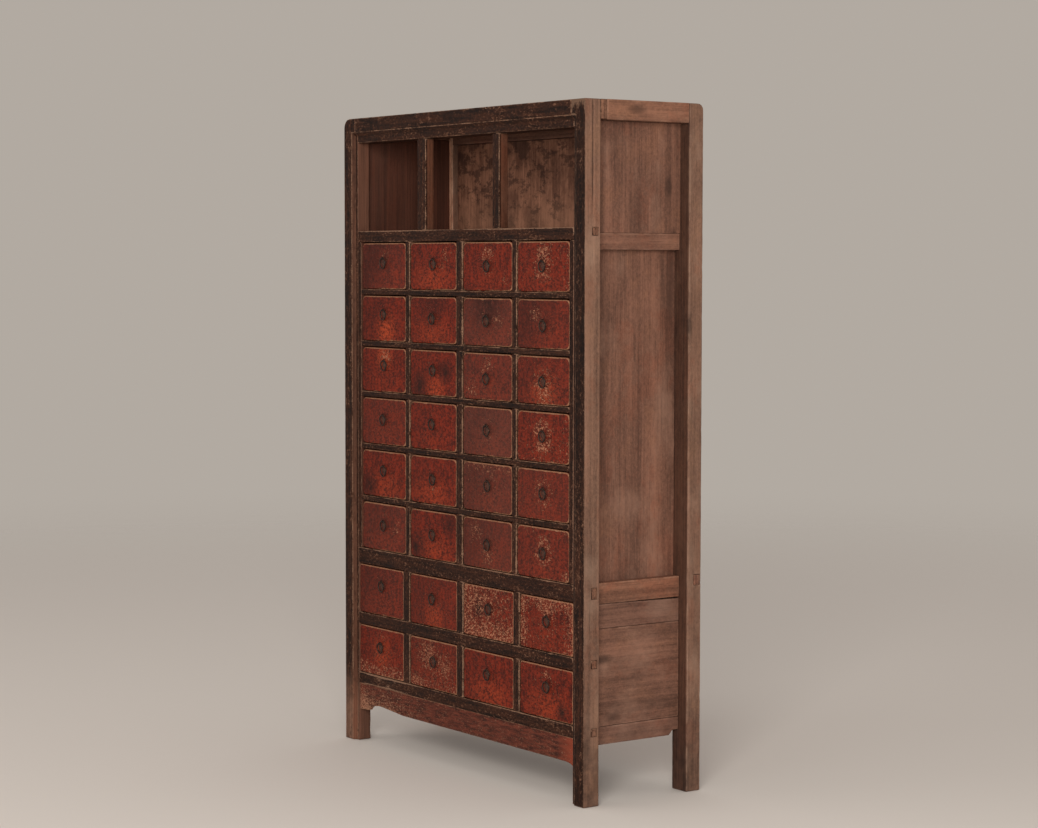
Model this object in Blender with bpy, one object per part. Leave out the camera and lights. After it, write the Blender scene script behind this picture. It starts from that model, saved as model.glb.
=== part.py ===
"""An old lacquered apothecary cabinet.

A post-and-rail carcass carries an open display compartment, six rows of small drawers in
an egg-crate rack, and two rows of larger drawers below a heavy middle rail. Each drawer
is an open box with a ring pull.

Metres, +Z up. The origin is on the floor under the middle of the cabinet. The drawers
face -Y, and +X is on the right of someone who faces them.
"""

import math
import random

import bmesh
import bpy
from mathutils import Vector

# ---- Driving dimensions, in metres ----
WIDTH = 1.220
DEPTH = 0.406
HEIGHT = 1.900
GAP = 0.0003  # clearance between pieces that meet
CUT_PAST = 0.010  # how far a cut or a joined tenon runs past the face it meets

# Posts
POST_WIDTH = 0.063
FRONT_POST_DEPTH = 0.052
BACK_POST_DEPTH = 0.050
LEFT_CORNER_RADIUS = 0.028  # worn round at the top of the front left post
RIGHT_CORNER_RADIUS = 0.006
BACK_CORNER_RADIUS = 0.018
CORNER_STEPS = 6

# Moulding cut round the front frame
MOULD_FROM_SIDE = 0.043
MOULD_FROM_TOP = 0.043
MOULD_DEPTH = 0.010  # also how far the inner frame lies behind the front plane

# Front frame heights, from the top down
TOP_RAIL_HEIGHT = 0.0745
COMPARTMENT_HEIGHT = 0.2655
SHELF_RAIL_HEIGHT = 0.033
UPPER_ROW_HEIGHTS = (0.1425, 0.1400, 0.1370, 0.1430, 0.1435, 0.1465)
UPPER_RAIL_HEIGHT = 0.0155
MID_RAIL_HEIGHT = 0.047
LOWER_ROW_HEIGHTS = (0.1515, 0.1505)
LOWER_RAIL_HEIGHT = 0.0345
BOTTOM_RAIL_HEIGHT = 0.0335
RAIL_DEPTH = 0.040

# Columns of drawers
SIDE_PANEL_THICKNESS = 0.019
UPPER_MUNTINS = (0.022, 0.031, 0.022)
LOWER_MUNTINS = (0.034, 0.032, 0.029)
RACK_BACK = 0.350  # from the front plane
RACK_BOARD = 0.018
JOIN = 0.0006  # how far joined boards of one rack run into each other

# Through tenons of the front rails and of the back rail
TENON_FROM_FRONT = 0.026
TENON_DEPTH = 0.018
TENON_SHARE = 0.64  # of the rail's height
TENON_RISE = 0.005  # above the middle of the rail

# Top
TOP_RAIL_DEPTH = 0.074
SIDE_TOP_RAIL_HEIGHT = 0.054
SIDE_TOP_RAIL_WIDTH = 0.050
BACK_TOP_RAIL_HEIGHT = 0.070
TOP_PANEL_DROP = 0.008
TOP_PANEL_THICKNESS = 0.018

# Side framing: distance behind the posts' outer face, and heights above the floor
UPPER_SIDE_RAIL = {"recess": 0.039, "z": (1.500, 1.545)}
MIDDLE_SIDE_RAIL = {"recess": 0.034, "z": (0.543, 0.600)}
UPPER_PANEL = {"recess": 0.037, "thickness": 0.010}
LOWER_PANEL = {"recess": 0.035, "thickness": 0.015, "bottom": 0.157}
LOWER_BOARD_SEAMS = (0.2075, 0.475)
SEAM_DEPTH = 0.003

# Back
BACK_PANEL_FRONT = 0.375  # from the front plane
BACK_PANEL_THICKNESS = 0.015
BACK_PANEL_BOTTOM = 0.160
BACK_RAIL_Z = (0.563, 0.607)

# Compartment posts: X spans, the left post being the wider
COMPARTMENT_POSTS = {"left": (-0.217, -0.174), "right": (0.167, 0.199)}
COMPARTMENT_POST_DEPTH = 0.030

# Apron
APRON_THICKNESS = 0.015
APRON_SETBACK = 0.0125
APRON_LOW = 0.110
BRACKET_LOW = 0.097
BRACKET_LENGTH = 0.042
BROKEN_BRACKET_LENGTH = 0.055  # the left one
BROKEN_END = ((-0.004, 0.003), (0.0, 0.009), (0.012, 0.017))  # X past its length, Z above its low edge
WORN_ARCH_START = 0.050  # past the broken bracket
WORN_ARCH_TOP = 0.120
WORN_ARCH_END = 0.330  # from the left face

# Drawers
DRAWER_SETBACK = 0.0130
DRAWER_CLEARANCE = 0.0013  # at each side
DRAWER_UNDER = 0.0015
DRAWER_HEADROOM = 0.0042
DRAWER_LENGTH = 0.325
DRAWER_FRONT = 0.014
DRAWER_SIDE = 0.008
DRAWER_BOTTOM = 0.006
DRAWER_SIDE_DROP = 0.008  # box sides stand this far below the top of the front

# Ring pulls
RING_HALF_WIDTH = 0.0138
RING_HALF_HEIGHT = 0.0150
RING_BAR_RADIUS = 0.0020
RING_STEPS = 14
BAR_STEPS = 6
RING_STAND_OFF = 0.0064
RING_LEAN = 0.0022  # the foot of the ring hangs this much nearer the plate
BACKPLATE_HALF_WIDTH = 0.0135
BACKPLATE_HALF_HEIGHT = 0.0165
BACKPLATE_DROP = 0.0125  # middle of the plate below the staple
BACKPLATE_THICKNESS = 0.0014
STAPLE_WIDTH = 0.0040
STAPLE_HEIGHT = 0.0075
STAPLE_LENGTH = 0.0095
# Staples above the middle of their fronts, by column: lower at the right in the upper rows.
PULL_RISE = {"upper": (0.0225, 0.0205, 0.0140, 0.0155), "lower": (0.026, 0.026, 0.026, 0.026)}
PULL_SCATTER = (0.004, 0.006)  # hand-fitted pulls wander this much in X and Z

LEFT, RIGHT = -1, 1
SIDE_NAMES = {LEFT: "left", RIGHT: "right"}


# ---- Where things are ----
def from_front(distance):
    """Y at a distance behind the front plane."""
    return distance - DEPTH / 2


def across(side, near, far):
    """The X span between two distances in from the outer face of one side."""
    ends = (side * (WIDTH / 2 - near), side * (WIDTH / 2 - far))
    return min(ends), max(ends)


def stack(top, heights, between):
    """Openings (low, high) of these heights stacked down from top."""
    spans = []
    for height in heights:
        spans.append((top - height, top))
        top -= height + between
    return spans


def columns(margin, muntins):
    """The drawer openings (low X, high X) between two side margins."""
    clear = (WIDTH - 2 * margin - sum(muntins)) / (len(muntins) + 1)
    left = -WIDTH / 2 + margin
    spans = []
    for muntin in (*muntins, 0.0):
        spans.append((left, left + clear))
        left += clear + muntin
    return spans


OPENING_TOP = HEIGHT - TOP_RAIL_HEIGHT
SHELF_RAIL_TOP = OPENING_TOP - COMPARTMENT_HEIGHT
UPPER_TOP = SHELF_RAIL_TOP - SHELF_RAIL_HEIGHT
UPPER_ROWS = stack(UPPER_TOP, UPPER_ROW_HEIGHTS, UPPER_RAIL_HEIGHT)
UPPER_BOTTOM = UPPER_ROWS[-1][0]
LOWER_TOP = UPPER_BOTTOM - MID_RAIL_HEIGHT
LOWER_ROWS = stack(LOWER_TOP, LOWER_ROW_HEIGHTS, LOWER_RAIL_HEIGHT)
LOWER_BOTTOM = LOWER_ROWS[-1][0]
APRON_TOP = LOWER_BOTTOM - BOTTOM_RAIL_HEIGHT
LOWER_RAIL_Z = (LOWER_ROWS[1][1], LOWER_ROWS[0][0])

UPPER_COLUMNS = columns(POST_WIDTH + SIDE_PANEL_THICKNESS, UPPER_MUNTINS)
LOWER_COLUMNS = columns(POST_WIDTH, LOWER_MUNTINS)

RAIL_X = (-WIDTH / 2 + POST_WIDTH + GAP, WIDTH / 2 - POST_WIDTH - GAP)
INNER_PLANE = from_front(MOULD_DEPTH)
RAIL_Y = (INNER_PLANE, INNER_PLANE + RAIL_DEPTH)
BACK_POST_FRONT = DEPTH - BACK_POST_DEPTH
SIDE_Y = (from_front(FRONT_POST_DEPTH + GAP), from_front(BACK_POST_FRONT - GAP))


# ---- Materials ----
def make_material(name, colour, roughness, metallic=0.0):
    material = bpy.data.materials.new(name)
    material.use_nodes = True
    shader = material.node_tree.nodes["Principled BSDF"]
    shader.inputs["Base Color"].default_value = (*colour, 1.0)
    shader.inputs["Roughness"].default_value = roughness
    shader.inputs["Metallic"].default_value = metallic
    return material


def make_materials():
    return {
        "black_lacquer": make_material("black_lacquer", (0.030, 0.017, 0.012), 0.55),
        "red_lacquer": make_material("red_lacquer", (0.170, 0.030, 0.018), 0.55),
        "weathered_wood": make_material("weathered_wood", (0.140, 0.075, 0.048), 0.80),
        "interior_wood": make_material("interior_wood", (0.105, 0.045, 0.025), 0.80),
    }


# ---- Shape helpers ----
def add_object(name, mesh, place, parent, material=None):
    """A named object at its place, riding on its parent."""
    thing = bpy.data.objects.new(name, mesh)
    thing.location = place
    thing.parent = parent
    bpy.context.collection.objects.link(thing)
    if material:
        mesh.materials.clear()
        mesh.materials.append(material)
    return thing


def box_into(bm, x, y, z):
    """Add a box with these (low, high) spans to a bmesh."""
    middle = Vector((sum(x) / 2, sum(y) / 2, sum(z) / 2))
    size = Vector((x[1] - x[0], y[1] - y[0], z[1] - z[0]))
    corners = bmesh.ops.create_cube(bm, size=1.0)["verts"]
    bmesh.ops.scale(bm, vec=size, verts=corners)
    bmesh.ops.translate(bm, vec=middle, verts=corners)


def extrude_into(bm, outline, axis, low, high):
    """Add a prism: an outline in the plane across axis, swept from low to high."""
    if axis == "X":
        points = [Vector((low, u, v)) for u, v in outline]
        sweep = Vector((high - low, 0, 0))
    else:
        points = [Vector((u, low, v)) for u, v in outline]
        sweep = Vector((0, high - low, 0))
    face = bm.faces.new([bm.verts.new(point) for point in points])
    swept = bmesh.ops.extrude_face_region(bm, geom=[face])["geom"]
    moved = [item for item in swept if isinstance(item, bmesh.types.BMVert)]
    bmesh.ops.translate(bm, vec=sweep, verts=moved)


def finish_mesh(name, bm, centre=None):
    """Turn a bmesh into a mesh, with its origin moved to centre."""
    if centre is not None:
        bmesh.ops.translate(bm, vec=-Vector(centre), verts=bm.verts)
    bmesh.ops.recalc_face_normals(bm, faces=bm.faces)
    mesh = bpy.data.meshes.new(name)
    bm.to_mesh(mesh)
    bm.free()
    return mesh


def board(name, x, y, z, material, parent):
    """A plain rectangular board, with its origin in its middle."""
    bm = bmesh.new()
    box_into(bm, x, y, z)
    centre = (sum(x) / 2, sum(y) / 2, sum(z) / 2)
    return add_object(name, finish_mesh(name, bm, centre), centre, parent, material)


def corner_arc(centre, radius, start, end):
    """Points along an arc between two angles in degrees."""
    points = []
    for step in range(CORNER_STEPS + 1):
        angle = math.radians(start + (end - start) * step / CORNER_STEPS)
        points.append(
            (centre[0] + radius * math.cos(angle), centre[1] + radius * math.sin(angle))
        )
    return points


def cutter(name, bm, parent):
    """A hidden shape that Boolean modifiers use."""
    guide = add_object(name, finish_mesh(name, bm), (0, 0, 0), parent)
    guide.hide_render = True
    guide.display_type = "WIRE"
    return guide


def boolean(target, tool, operation):
    modifier = target.modifiers.new(f"{operation.lower()}_{tool.name}", "BOOLEAN")
    modifier.operation = operation
    modifier.object = tool


def tenon_span(z):
    """Heights of the tenon of a rail that spans z."""
    half = (z[1] - z[0]) * TENON_SHARE / 2
    middle = (z[0] + z[1]) / 2 + TENON_RISE
    return middle - half, middle + half


def grown(span, by):
    return span[0] - by, span[1] + by


# ---- Cutters ----
def moulding_cutter(parent):
    """A shallow tapered block that leaves a mitred bevel round the front frame."""
    bm = bmesh.new()
    floor = -0.1
    proud = 0.02
    rings = []
    for inward, y in (
        (-proud, from_front(-proud)),
        (MOULD_DEPTH, INNER_PLANE),
    ):
        x = WIDTH / 2 - MOULD_FROM_SIDE - inward
        top = HEIGHT - MOULD_FROM_TOP - inward
        corners = [(-x, floor), (x, floor), (x, top), (-x, top)]
        rings.append([bm.verts.new((u, y, v)) for u, v in corners])
    front, back = rings
    bm.faces.new(front)
    bm.faces.new(list(reversed(back)))
    for step in range(4):
        after = (step + 1) % 4
        bm.faces.new((front[step], back[step], back[after], front[after]))
    return cutter("moulding_cutter", bm, parent)


def mortise_cutter(parent):
    """Boxes that cut the through mortises of every tenoned rail."""
    bm = bmesh.new()
    front = grown(front_tenon_y(), GAP)
    back = grown(back_tenon_y(), GAP)
    cuts = [(front, rail_z) for rail_z in front_rail_heights().values()]
    cuts.append((back, BACK_RAIL_Z))
    for side in (LEFT, RIGHT):
        for y, rail_z in cuts:
            x = across(side, -CUT_PAST, POST_WIDTH + CUT_PAST)
            box_into(bm, x, y, grown(tenon_span(rail_z), GAP))
    return cutter("mortise_cutter", bm, parent)


def front_rail_heights():
    return {
        "shelf_rail": (UPPER_TOP, SHELF_RAIL_TOP),
        "mid_rail": (LOWER_TOP, UPPER_BOTTOM),
        "lower_rail": LOWER_RAIL_Z,
        "bottom_rail": (APRON_TOP, LOWER_BOTTOM),
    }


def front_tenon_y():
    return from_front(TENON_FROM_FRONT), from_front(TENON_FROM_FRONT + TENON_DEPTH)


def back_tenon_y():
    middle = DEPTH - BACK_POST_DEPTH / 2
    return from_front(middle), from_front(middle + TENON_DEPTH)


# ---- Carcass ----
def front_post(side, radius, material, parent, cutters):
    """A front post, rounded at its top outer corner and mortised for the rails."""
    outer = side * WIDTH / 2
    inner = side * (WIDTH / 2 - POST_WIDTH)
    centre = (outer - side * radius, HEIGHT - radius)
    arc = corner_arc(centre, radius, 90, 90 - side * 90)
    outline = [(outer, 0), (inner, 0), (inner, HEIGHT), *arc]
    bm = bmesh.new()
    extrude_into(bm, outline, "Y", from_front(0), from_front(FRONT_POST_DEPTH))
    name = f"post_front_{SIDE_NAMES[side]}"
    place = ((outer + inner) / 2, from_front(FRONT_POST_DEPTH / 2), 0)
    post = add_object(name, finish_mesh(name, bm, place), place, parent, material)
    for tool in cutters:
        boolean(post, tool, "DIFFERENCE")


def back_post(side, material, parent, mortises):
    """A back post, rounded at its top rear corner."""
    back = from_front(DEPTH)
    front = from_front(BACK_POST_FRONT)
    centre = (back - BACK_CORNER_RADIUS, HEIGHT - BACK_CORNER_RADIUS)
    arc = corner_arc(centre, BACK_CORNER_RADIUS, 90, 0)
    outline = [(back, 0), (front, 0), (front, HEIGHT), *arc]
    bm = bmesh.new()
    low, high = across(side, 0, POST_WIDTH)
    extrude_into(bm, outline, "X", low, high)
    name = f"post_back_{SIDE_NAMES[side]}"
    place = ((low + high) / 2, (front + back) / 2, 0)
    post = add_object(name, finish_mesh(name, bm, place), place, parent, material)
    boolean(post, mortises, "DIFFERENCE")


def tenoned_rail(name, y, z, tenon_y, material, parent):
    """A rail between the posts with a tenon that runs through each of them."""
    rail = board(name, RAIL_X, y, z, material, parent)
    bm = bmesh.new()
    box_into(bm, (-WIDTH / 2, WIDTH / 2), tenon_y, tenon_span(z))
    boolean(rail, cutter(f"{name}_tenons", bm, parent), "UNION")
    return rail


def front_top_rail(material, parent, moulding):
    """The top front rail, whose deeper back half laps behind the posts."""
    rail = board(
        "top_rail_front",
        RAIL_X,
        (from_front(0), from_front(TOP_RAIL_DEPTH)),
        (OPENING_TOP, HEIGHT),
        material,
        parent,
    )
    bm = bmesh.new()
    box_into(
        bm,
        (-WIDTH / 2, WIDTH / 2),
        (from_front(FRONT_POST_DEPTH + GAP), from_front(TOP_RAIL_DEPTH)),
        (HEIGHT - SIDE_TOP_RAIL_HEIGHT, HEIGHT),
    )
    boolean(rail, cutter("top_rail_laps", bm, parent), "UNION")
    boolean(rail, moulding, "DIFFERENCE")


def top_frame(materials, parent):
    """The side and back top rails and the panel they hold."""
    wood = materials["weathered_wood"]
    side_y = (from_front(TOP_RAIL_DEPTH + GAP), SIDE_Y[1])
    for side in (LEFT, RIGHT):
        board(
            f"top_rail_{SIDE_NAMES[side]}",
            across(side, 0, SIDE_TOP_RAIL_WIDTH),
            side_y,
            (HEIGHT - SIDE_TOP_RAIL_HEIGHT, HEIGHT),
            wood,
            parent,
        )
    board(
        "top_rail_back",
        RAIL_X,
        (from_front(BACK_POST_FRONT), from_front(DEPTH)),
        (HEIGHT - BACK_TOP_RAIL_HEIGHT, HEIGHT),
        wood,
        parent,
    )
    half_width = WIDTH / 2 - SIDE_TOP_RAIL_WIDTH - GAP
    panel_top = HEIGHT - TOP_PANEL_DROP
    board(
        "top_panel",
        (-half_width, half_width),
        side_y,
        (panel_top - TOP_PANEL_THICKNESS, panel_top),
        wood,
        parent,
    )


def side_frame(side, materials, parent):
    """The rails and panels between the posts on one side."""
    name = SIDE_NAMES[side]
    wood = materials["weathered_wood"]
    for label, rail in (("upper", UPPER_SIDE_RAIL), ("middle", MIDDLE_SIDE_RAIL)):
        span = across(side, rail["recess"], POST_WIDTH - GAP)
        board(f"side_rail_{label}_{name}", span, SIDE_Y, rail["z"], wood, parent)
    board(
        f"side_panel_upper_{name}",
        across(side, UPPER_PANEL["recess"], UPPER_PANEL["recess"] + UPPER_PANEL["thickness"]),
        SIDE_Y,
        (UPPER_SIDE_RAIL["z"][1] + GAP, HEIGHT - SIDE_TOP_RAIL_HEIGHT - GAP),
        wood,
        parent,
    )
    board(
        f"side_panel_middle_{name}",
        across(side, POST_WIDTH + GAP, POST_WIDTH + SIDE_PANEL_THICKNESS - GAP),
        (INNER_PLANE, from_front(BACK_PANEL_FRONT - GAP)),
        (UPPER_BOTTOM + JOIN + 2 * GAP, UPPER_TOP - JOIN - 2 * GAP),
        wood,
        parent,
    )
    lower_side_panel(side, wood, parent)


def lower_side_panel(side, material, parent):
    """Three boards edge to edge, with an open seam between them on the outer face."""
    outer = side * (WIDTH / 2 - LOWER_PANEL["recess"])
    inner = outer - side * LOWER_PANEL["thickness"]
    top = MIDDLE_SIDE_RAIL["z"][0] - GAP
    bottom = LOWER_PANEL["bottom"]
    outline = [(inner, bottom), (outer, bottom)]
    for seam in LOWER_BOARD_SEAMS:
        half = SEAM_DEPTH / 3
        floor = outer - side * SEAM_DEPTH
        outline += [(outer, seam - half), (floor, seam), (outer, seam + half)]
    outline += [(outer, top), (inner, top)]
    bm = bmesh.new()
    extrude_into(bm, outline, "Y", *SIDE_Y)
    name = f"side_panel_lower_{SIDE_NAMES[side]}"
    place = ((outer + inner) / 2, sum(SIDE_Y) / 2, (bottom + top) / 2)
    add_object(name, finish_mesh(name, bm, place), place, parent, material)


def back(materials, parent):
    """The back panel with the rail that stiffens it, tenoned through the back posts."""
    panel_y = (from_front(BACK_PANEL_FRONT), from_front(BACK_PANEL_FRONT + BACK_PANEL_THICKNESS))
    panel_z = (BACK_PANEL_BOTTOM, HEIGHT - BACK_TOP_RAIL_HEIGHT - GAP)
    wood = materials["interior_wood"]
    panel = board("back_panel", RAIL_X, panel_y, panel_z, wood, parent)
    rail = bmesh.new()
    box_into(rail, RAIL_X, (panel_y[1] - JOIN, from_front(DEPTH)), BACK_RAIL_Z)
    boolean(panel, cutter("back_rail", rail, parent), "UNION")
    tenons = bmesh.new()
    box_into(tenons, (-WIDTH / 2, WIDTH / 2), back_tenon_y(), tenon_span(BACK_RAIL_Z))
    boolean(panel, cutter("back_rail_tenons", tenons, parent), "UNION")


def apron(material, parent):
    """The apron under the bottom rail: a bracket at each end and a worn arch at the left."""
    left, right = RAIL_X
    drop = APRON_LOW - BRACKET_LOW
    # The right bracket sweeps down to the post in a quarter ellipse.
    right_curve = [
        (
            right - BRACKET_LENGTH * (1 - math.sin(angle)),
            APRON_LOW - drop * (1 - math.cos(angle)),
        )
        for angle in (math.radians(90 * step / CORNER_STEPS) for step in range(CORNER_STEPS + 1))
    ]
    notch = left + BROKEN_BRACKET_LENGTH
    broken_end = [(notch + past, BRACKET_LOW + above) for past, above in BROKEN_END]
    arch_start = notch + WORN_ARCH_START
    arch_end = -WIDTH / 2 + WORN_ARCH_END
    arch = []
    for step in range(CORNER_STEPS + 1):
        share = step / CORNER_STEPS
        fall = (1 - math.cos(math.pi * share)) / 2
        arch.append(
            (
                arch_start + (arch_end - arch_start) * share,
                WORN_ARCH_TOP - (WORN_ARCH_TOP - APRON_LOW) * fall,
            )
        )
    outline = [
        (left, APRON_TOP - GAP),
        (left, BRACKET_LOW),
        *broken_end,
        *arch,
        *right_curve,
        (right, APRON_TOP - GAP),
    ]
    bm = bmesh.new()
    y = (from_front(APRON_SETBACK), from_front(APRON_SETBACK + APRON_THICKNESS))
    extrude_into(bm, outline, "Y", *y)
    place = (0, sum(y) / 2, APRON_TOP)
    add_object("apron", finish_mesh("apron", bm, place), place, parent, material)


def compartment_posts(material, parent):
    """The two short posts that divide the mouth of the open compartment."""
    for side, span in COMPARTMENT_POSTS.items():
        board(
            f"compartment_post_{side}",
            span,
            (INNER_PLANE, INNER_PLANE + COMPARTMENT_POST_DEPTH),
            (SHELF_RAIL_TOP + GAP, OPENING_TOP - GAP),
            material,
            parent,
        )


# ---- Drawer racks ----
def crate_mesh(name, x_lines, z_lines, is_wood, y):
    """Boards crossing like an egg crate: a grid of cells, swept front to back."""
    bm = bmesh.new()
    grid = {
        (i, j): bm.verts.new((x_at, y[0], z_at))
        for i, x_at in enumerate(x_lines)
        for j, z_at in enumerate(z_lines)
    }
    faces = []
    for i in range(len(x_lines) - 1):
        for j in range(len(z_lines) - 1):
            if is_wood(i, j):
                corners = ((i, j), (i + 1, j), (i + 1, j + 1), (i, j + 1))
                faces.append(bm.faces.new([grid[corner] for corner in corners]))
    unused = [vert for vert in bm.verts if not vert.link_faces]
    bmesh.ops.delete(bm, geom=unused, context="VERTS")
    swept = bmesh.ops.extrude_face_region(bm, geom=faces)["geom"]
    moved = [item for item in swept if isinstance(item, bmesh.types.BMVert)]
    bmesh.ops.translate(bm, vec=(0, y[1] - y[0], 0), verts=moved)
    return finish_mesh(name, bm)


def crate(name, x, z, column_spans, row_spans, material, parent):
    """A rack of muntins and rails: column_spans and row_spans are its openings."""
    x_lines = [x[0]]
    for low, high in column_spans:
        x_lines += [edge for edge in (low, high) if x[0] + GAP < edge < x[1] - GAP]
    x_lines.append(x[1])
    z_lines = [z[0]]
    for low, high in reversed(row_spans):
        z_lines += [edge for edge in (low, high) if z[0] + GAP < edge < z[1] - GAP]
    z_lines.append(z[1])

    def is_wood(i, j):
        # Openings and boards take turns, starting with an opening at every edge.
        return i % 2 == 1 or j % 2 == 1

    mesh = crate_mesh(name, x_lines, z_lines, is_wood, (INNER_PLANE, from_front(RACK_BACK)))
    return add_object(name, mesh, (0, 0, 0), parent, material)


def add_board_to(rack, label, z, parent):
    """Join a full-width board behind the front rail to a rack."""
    bm = bmesh.new()
    box_into(bm, RAIL_X, (RAIL_Y[1] + GAP, from_front(BACK_PANEL_FRONT - GAP)), z)
    boolean(rack, cutter(f"{rack.name}_{label}", bm, parent), "UNION")


def upper_rack(material, parent):
    """The egg crate of rows 1 to 6, with the compartment's floor and its own floor."""
    margin = POST_WIDTH + SIDE_PANEL_THICKNESS + GAP
    span = (-WIDTH / 2 + margin, WIDTH / 2 - margin)
    z = (UPPER_BOTTOM + GAP, UPPER_TOP - GAP)
    rack = crate("drawer_rack_upper", span, z, UPPER_COLUMNS, UPPER_ROWS, material, parent)
    add_board_to(rack, "shelf", (z[1] - JOIN, z[1] - JOIN + RACK_BOARD), parent)
    add_board_to(rack, "floor", (z[0] + JOIN - RACK_BOARD, z[0] + JOIN), parent)


def lower_rack(material, parent):
    """The crate of rows 7 and 8; its rail is tenoned through the front posts."""
    z = (LOWER_BOTTOM + GAP, LOWER_TOP - GAP)
    rack = crate("drawer_rack_lower", RAIL_X, z, LOWER_COLUMNS, LOWER_ROWS, material, parent)
    add_board_to(rack, "floor", (z[0] + JOIN - RACK_BOARD, z[0] + JOIN), parent)
    for side in (LEFT, RIGHT):
        tenon = bmesh.new()
        box_into(
            tenon,
            across(side, 0, POST_WIDTH + CUT_PAST),
            front_tenon_y(),
            tenon_span(LOWER_RAIL_Z),
        )
        boolean(rack, cutter(f"lower_rail_tenon_{SIDE_NAMES[side]}", tenon, parent), "UNION")


# ---- Drawers ----
def ring_into(bm, centre):
    """An oval ring bent from round bar, hanging with its foot nearer the plate."""
    loops = []
    for step in range(RING_STEPS):
        turn = 2 * math.pi * step / RING_STEPS
        outward = Vector((math.cos(turn), 0, math.sin(turn)))
        lean = RING_LEAN * (1 - outward.z) / 2
        spine = centre + Vector((RING_HALF_WIDTH * outward.x, lean, RING_HALF_HEIGHT * outward.z))
        loop = []
        for bar_step in range(BAR_STEPS):
            angle = 2 * math.pi * bar_step / BAR_STEPS
            offset = outward * math.cos(angle) + Vector((0, math.sin(angle), 0))
            loop.append(bm.verts.new(spine + offset * RING_BAR_RADIUS))
        loops.append(loop)
    for step in range(RING_STEPS):
        here, after = loops[step], loops[(step + 1) % RING_STEPS]
        for bar_step in range(BAR_STEPS):
            beside = (bar_step + 1) % BAR_STEPS
            bm.faces.new((here[bar_step], here[beside], after[beside], after[bar_step]))


def ring_mesh(staple_x, staple_z):
    bm = bmesh.new()
    ring_into(bm, Vector((staple_x, -RING_STAND_OFF, staple_z - RING_HALF_HEIGHT)))
    return finish_mesh("ring", bm)


def staple_mesh(staple_x, staple_z):
    """The bent iron staple that carries the ring."""
    bm = bmesh.new()
    box_into(
        bm,
        (staple_x - STAPLE_WIDTH / 2, staple_x + STAPLE_WIDTH / 2),
        (-STAPLE_LENGTH, BACKPLATE_THICKNESS),
        (staple_z - STAPLE_HEIGHT / 2, staple_z + STAPLE_HEIGHT / 2),
    )
    return finish_mesh("staple", bm)


def backplate_mesh(staple_x, staple_z):
    """The lozenge of sheet iron behind the ring."""
    bm = bmesh.new()
    middle_z = staple_z - BACKPLATE_DROP
    outline = [
        (staple_x + BACKPLATE_HALF_WIDTH, middle_z),
        (staple_x, middle_z + BACKPLATE_HALF_HEIGHT),
        (staple_x - BACKPLATE_HALF_WIDTH, middle_z),
        (staple_x, middle_z - BACKPLATE_HALF_HEIGHT),
    ]
    extrude_into(bm, outline, "Y", -BACKPLATE_THICKNESS, BACKPLATE_THICKNESS)
    return finish_mesh("backplate", bm)


def drawer_body_mesh(width, height):
    """The front board and the outside of the box, with the front face at Y = 0."""
    sides_top = height / 2 - DRAWER_SIDE_DROP
    outline = [
        (0, -height / 2),
        (DRAWER_LENGTH, -height / 2),
        (DRAWER_LENGTH, sides_top),
        (DRAWER_FRONT, sides_top),
        (DRAWER_FRONT, height / 2),
        (0, height / 2),
    ]
    bm = bmesh.new()
    extrude_into(bm, outline, "X", -width / 2, width / 2)
    return finish_mesh("drawer_body", bm)


def drawer_hollow_mesh(width, height):
    """The space inside the box, open at the top."""
    bm = bmesh.new()
    box_into(
        bm,
        (-width / 2 + DRAWER_SIDE, width / 2 - DRAWER_SIDE),
        (DRAWER_FRONT, DRAWER_LENGTH - DRAWER_SIDE),
        (-height / 2 + DRAWER_BOTTOM, height),
    )
    return finish_mesh("drawer_hollow", bm)


def combined(name, base, tools):
    """The mesh left after a row of Booleans, given as (mesh, operation)."""
    helpers = [bpy.data.objects.new("base", base)]
    helpers += [bpy.data.objects.new("tool", mesh) for mesh, _ in tools]
    for helper in helpers:
        bpy.context.collection.objects.link(helper)
    for helper, (_, operation) in zip(helpers[1:], tools, strict=True):
        boolean(helpers[0], helper, operation)
    view = bpy.context.evaluated_depsgraph_get()
    mesh = bpy.data.meshes.new_from_object(helpers[0].evaluated_get(view))
    mesh.name = name
    for helper in helpers:
        bpy.data.objects.remove(helper)
    return mesh


def drawer(name, column, row, staple, material, parent):
    """One drawer in its opening, with its origin in the middle of its front face."""
    width = column[1] - column[0] - 2 * DRAWER_CLEARANCE
    low = row[0] + DRAWER_UNDER
    high = row[1] - DRAWER_HEADROOM
    mesh = combined(
        name,
        drawer_body_mesh(width, high - low),
        (
            (drawer_hollow_mesh(width, high - low), "DIFFERENCE"),
            (backplate_mesh(*staple), "UNION"),
            (staple_mesh(*staple), "UNION"),
            (ring_mesh(*staple), "UNION"),
        ),
    )
    place = (sum(column) / 2, from_front(DRAWER_SETBACK), (low + high) / 2)
    add_object(name, mesh, place, parent, material)


def drawers(material, parent):
    """All the drawers, named by row from the top and column from the left."""
    scatter = random.Random(11)
    rows = [(row, UPPER_COLUMNS, PULL_RISE["upper"]) for row in UPPER_ROWS]
    rows += [(row, LOWER_COLUMNS, PULL_RISE["lower"]) for row in LOWER_ROWS]
    for row_number, (row, spans, rises) in enumerate(rows, start=1):
        for column_number, (column, rise) in enumerate(zip(spans, rises), start=1):
            shift = [scatter.uniform(-limit, limit) for limit in PULL_SCATTER]
            name = f"drawer_r{row_number}_c{column_number}"
            drawer(name, column, row, (shift[0], rise + shift[1]), material, parent)


# ---- Assembly ----
def empty(name):
    holder = bpy.data.objects.new(name, None)
    bpy.context.collection.objects.link(holder)
    return holder


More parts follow.
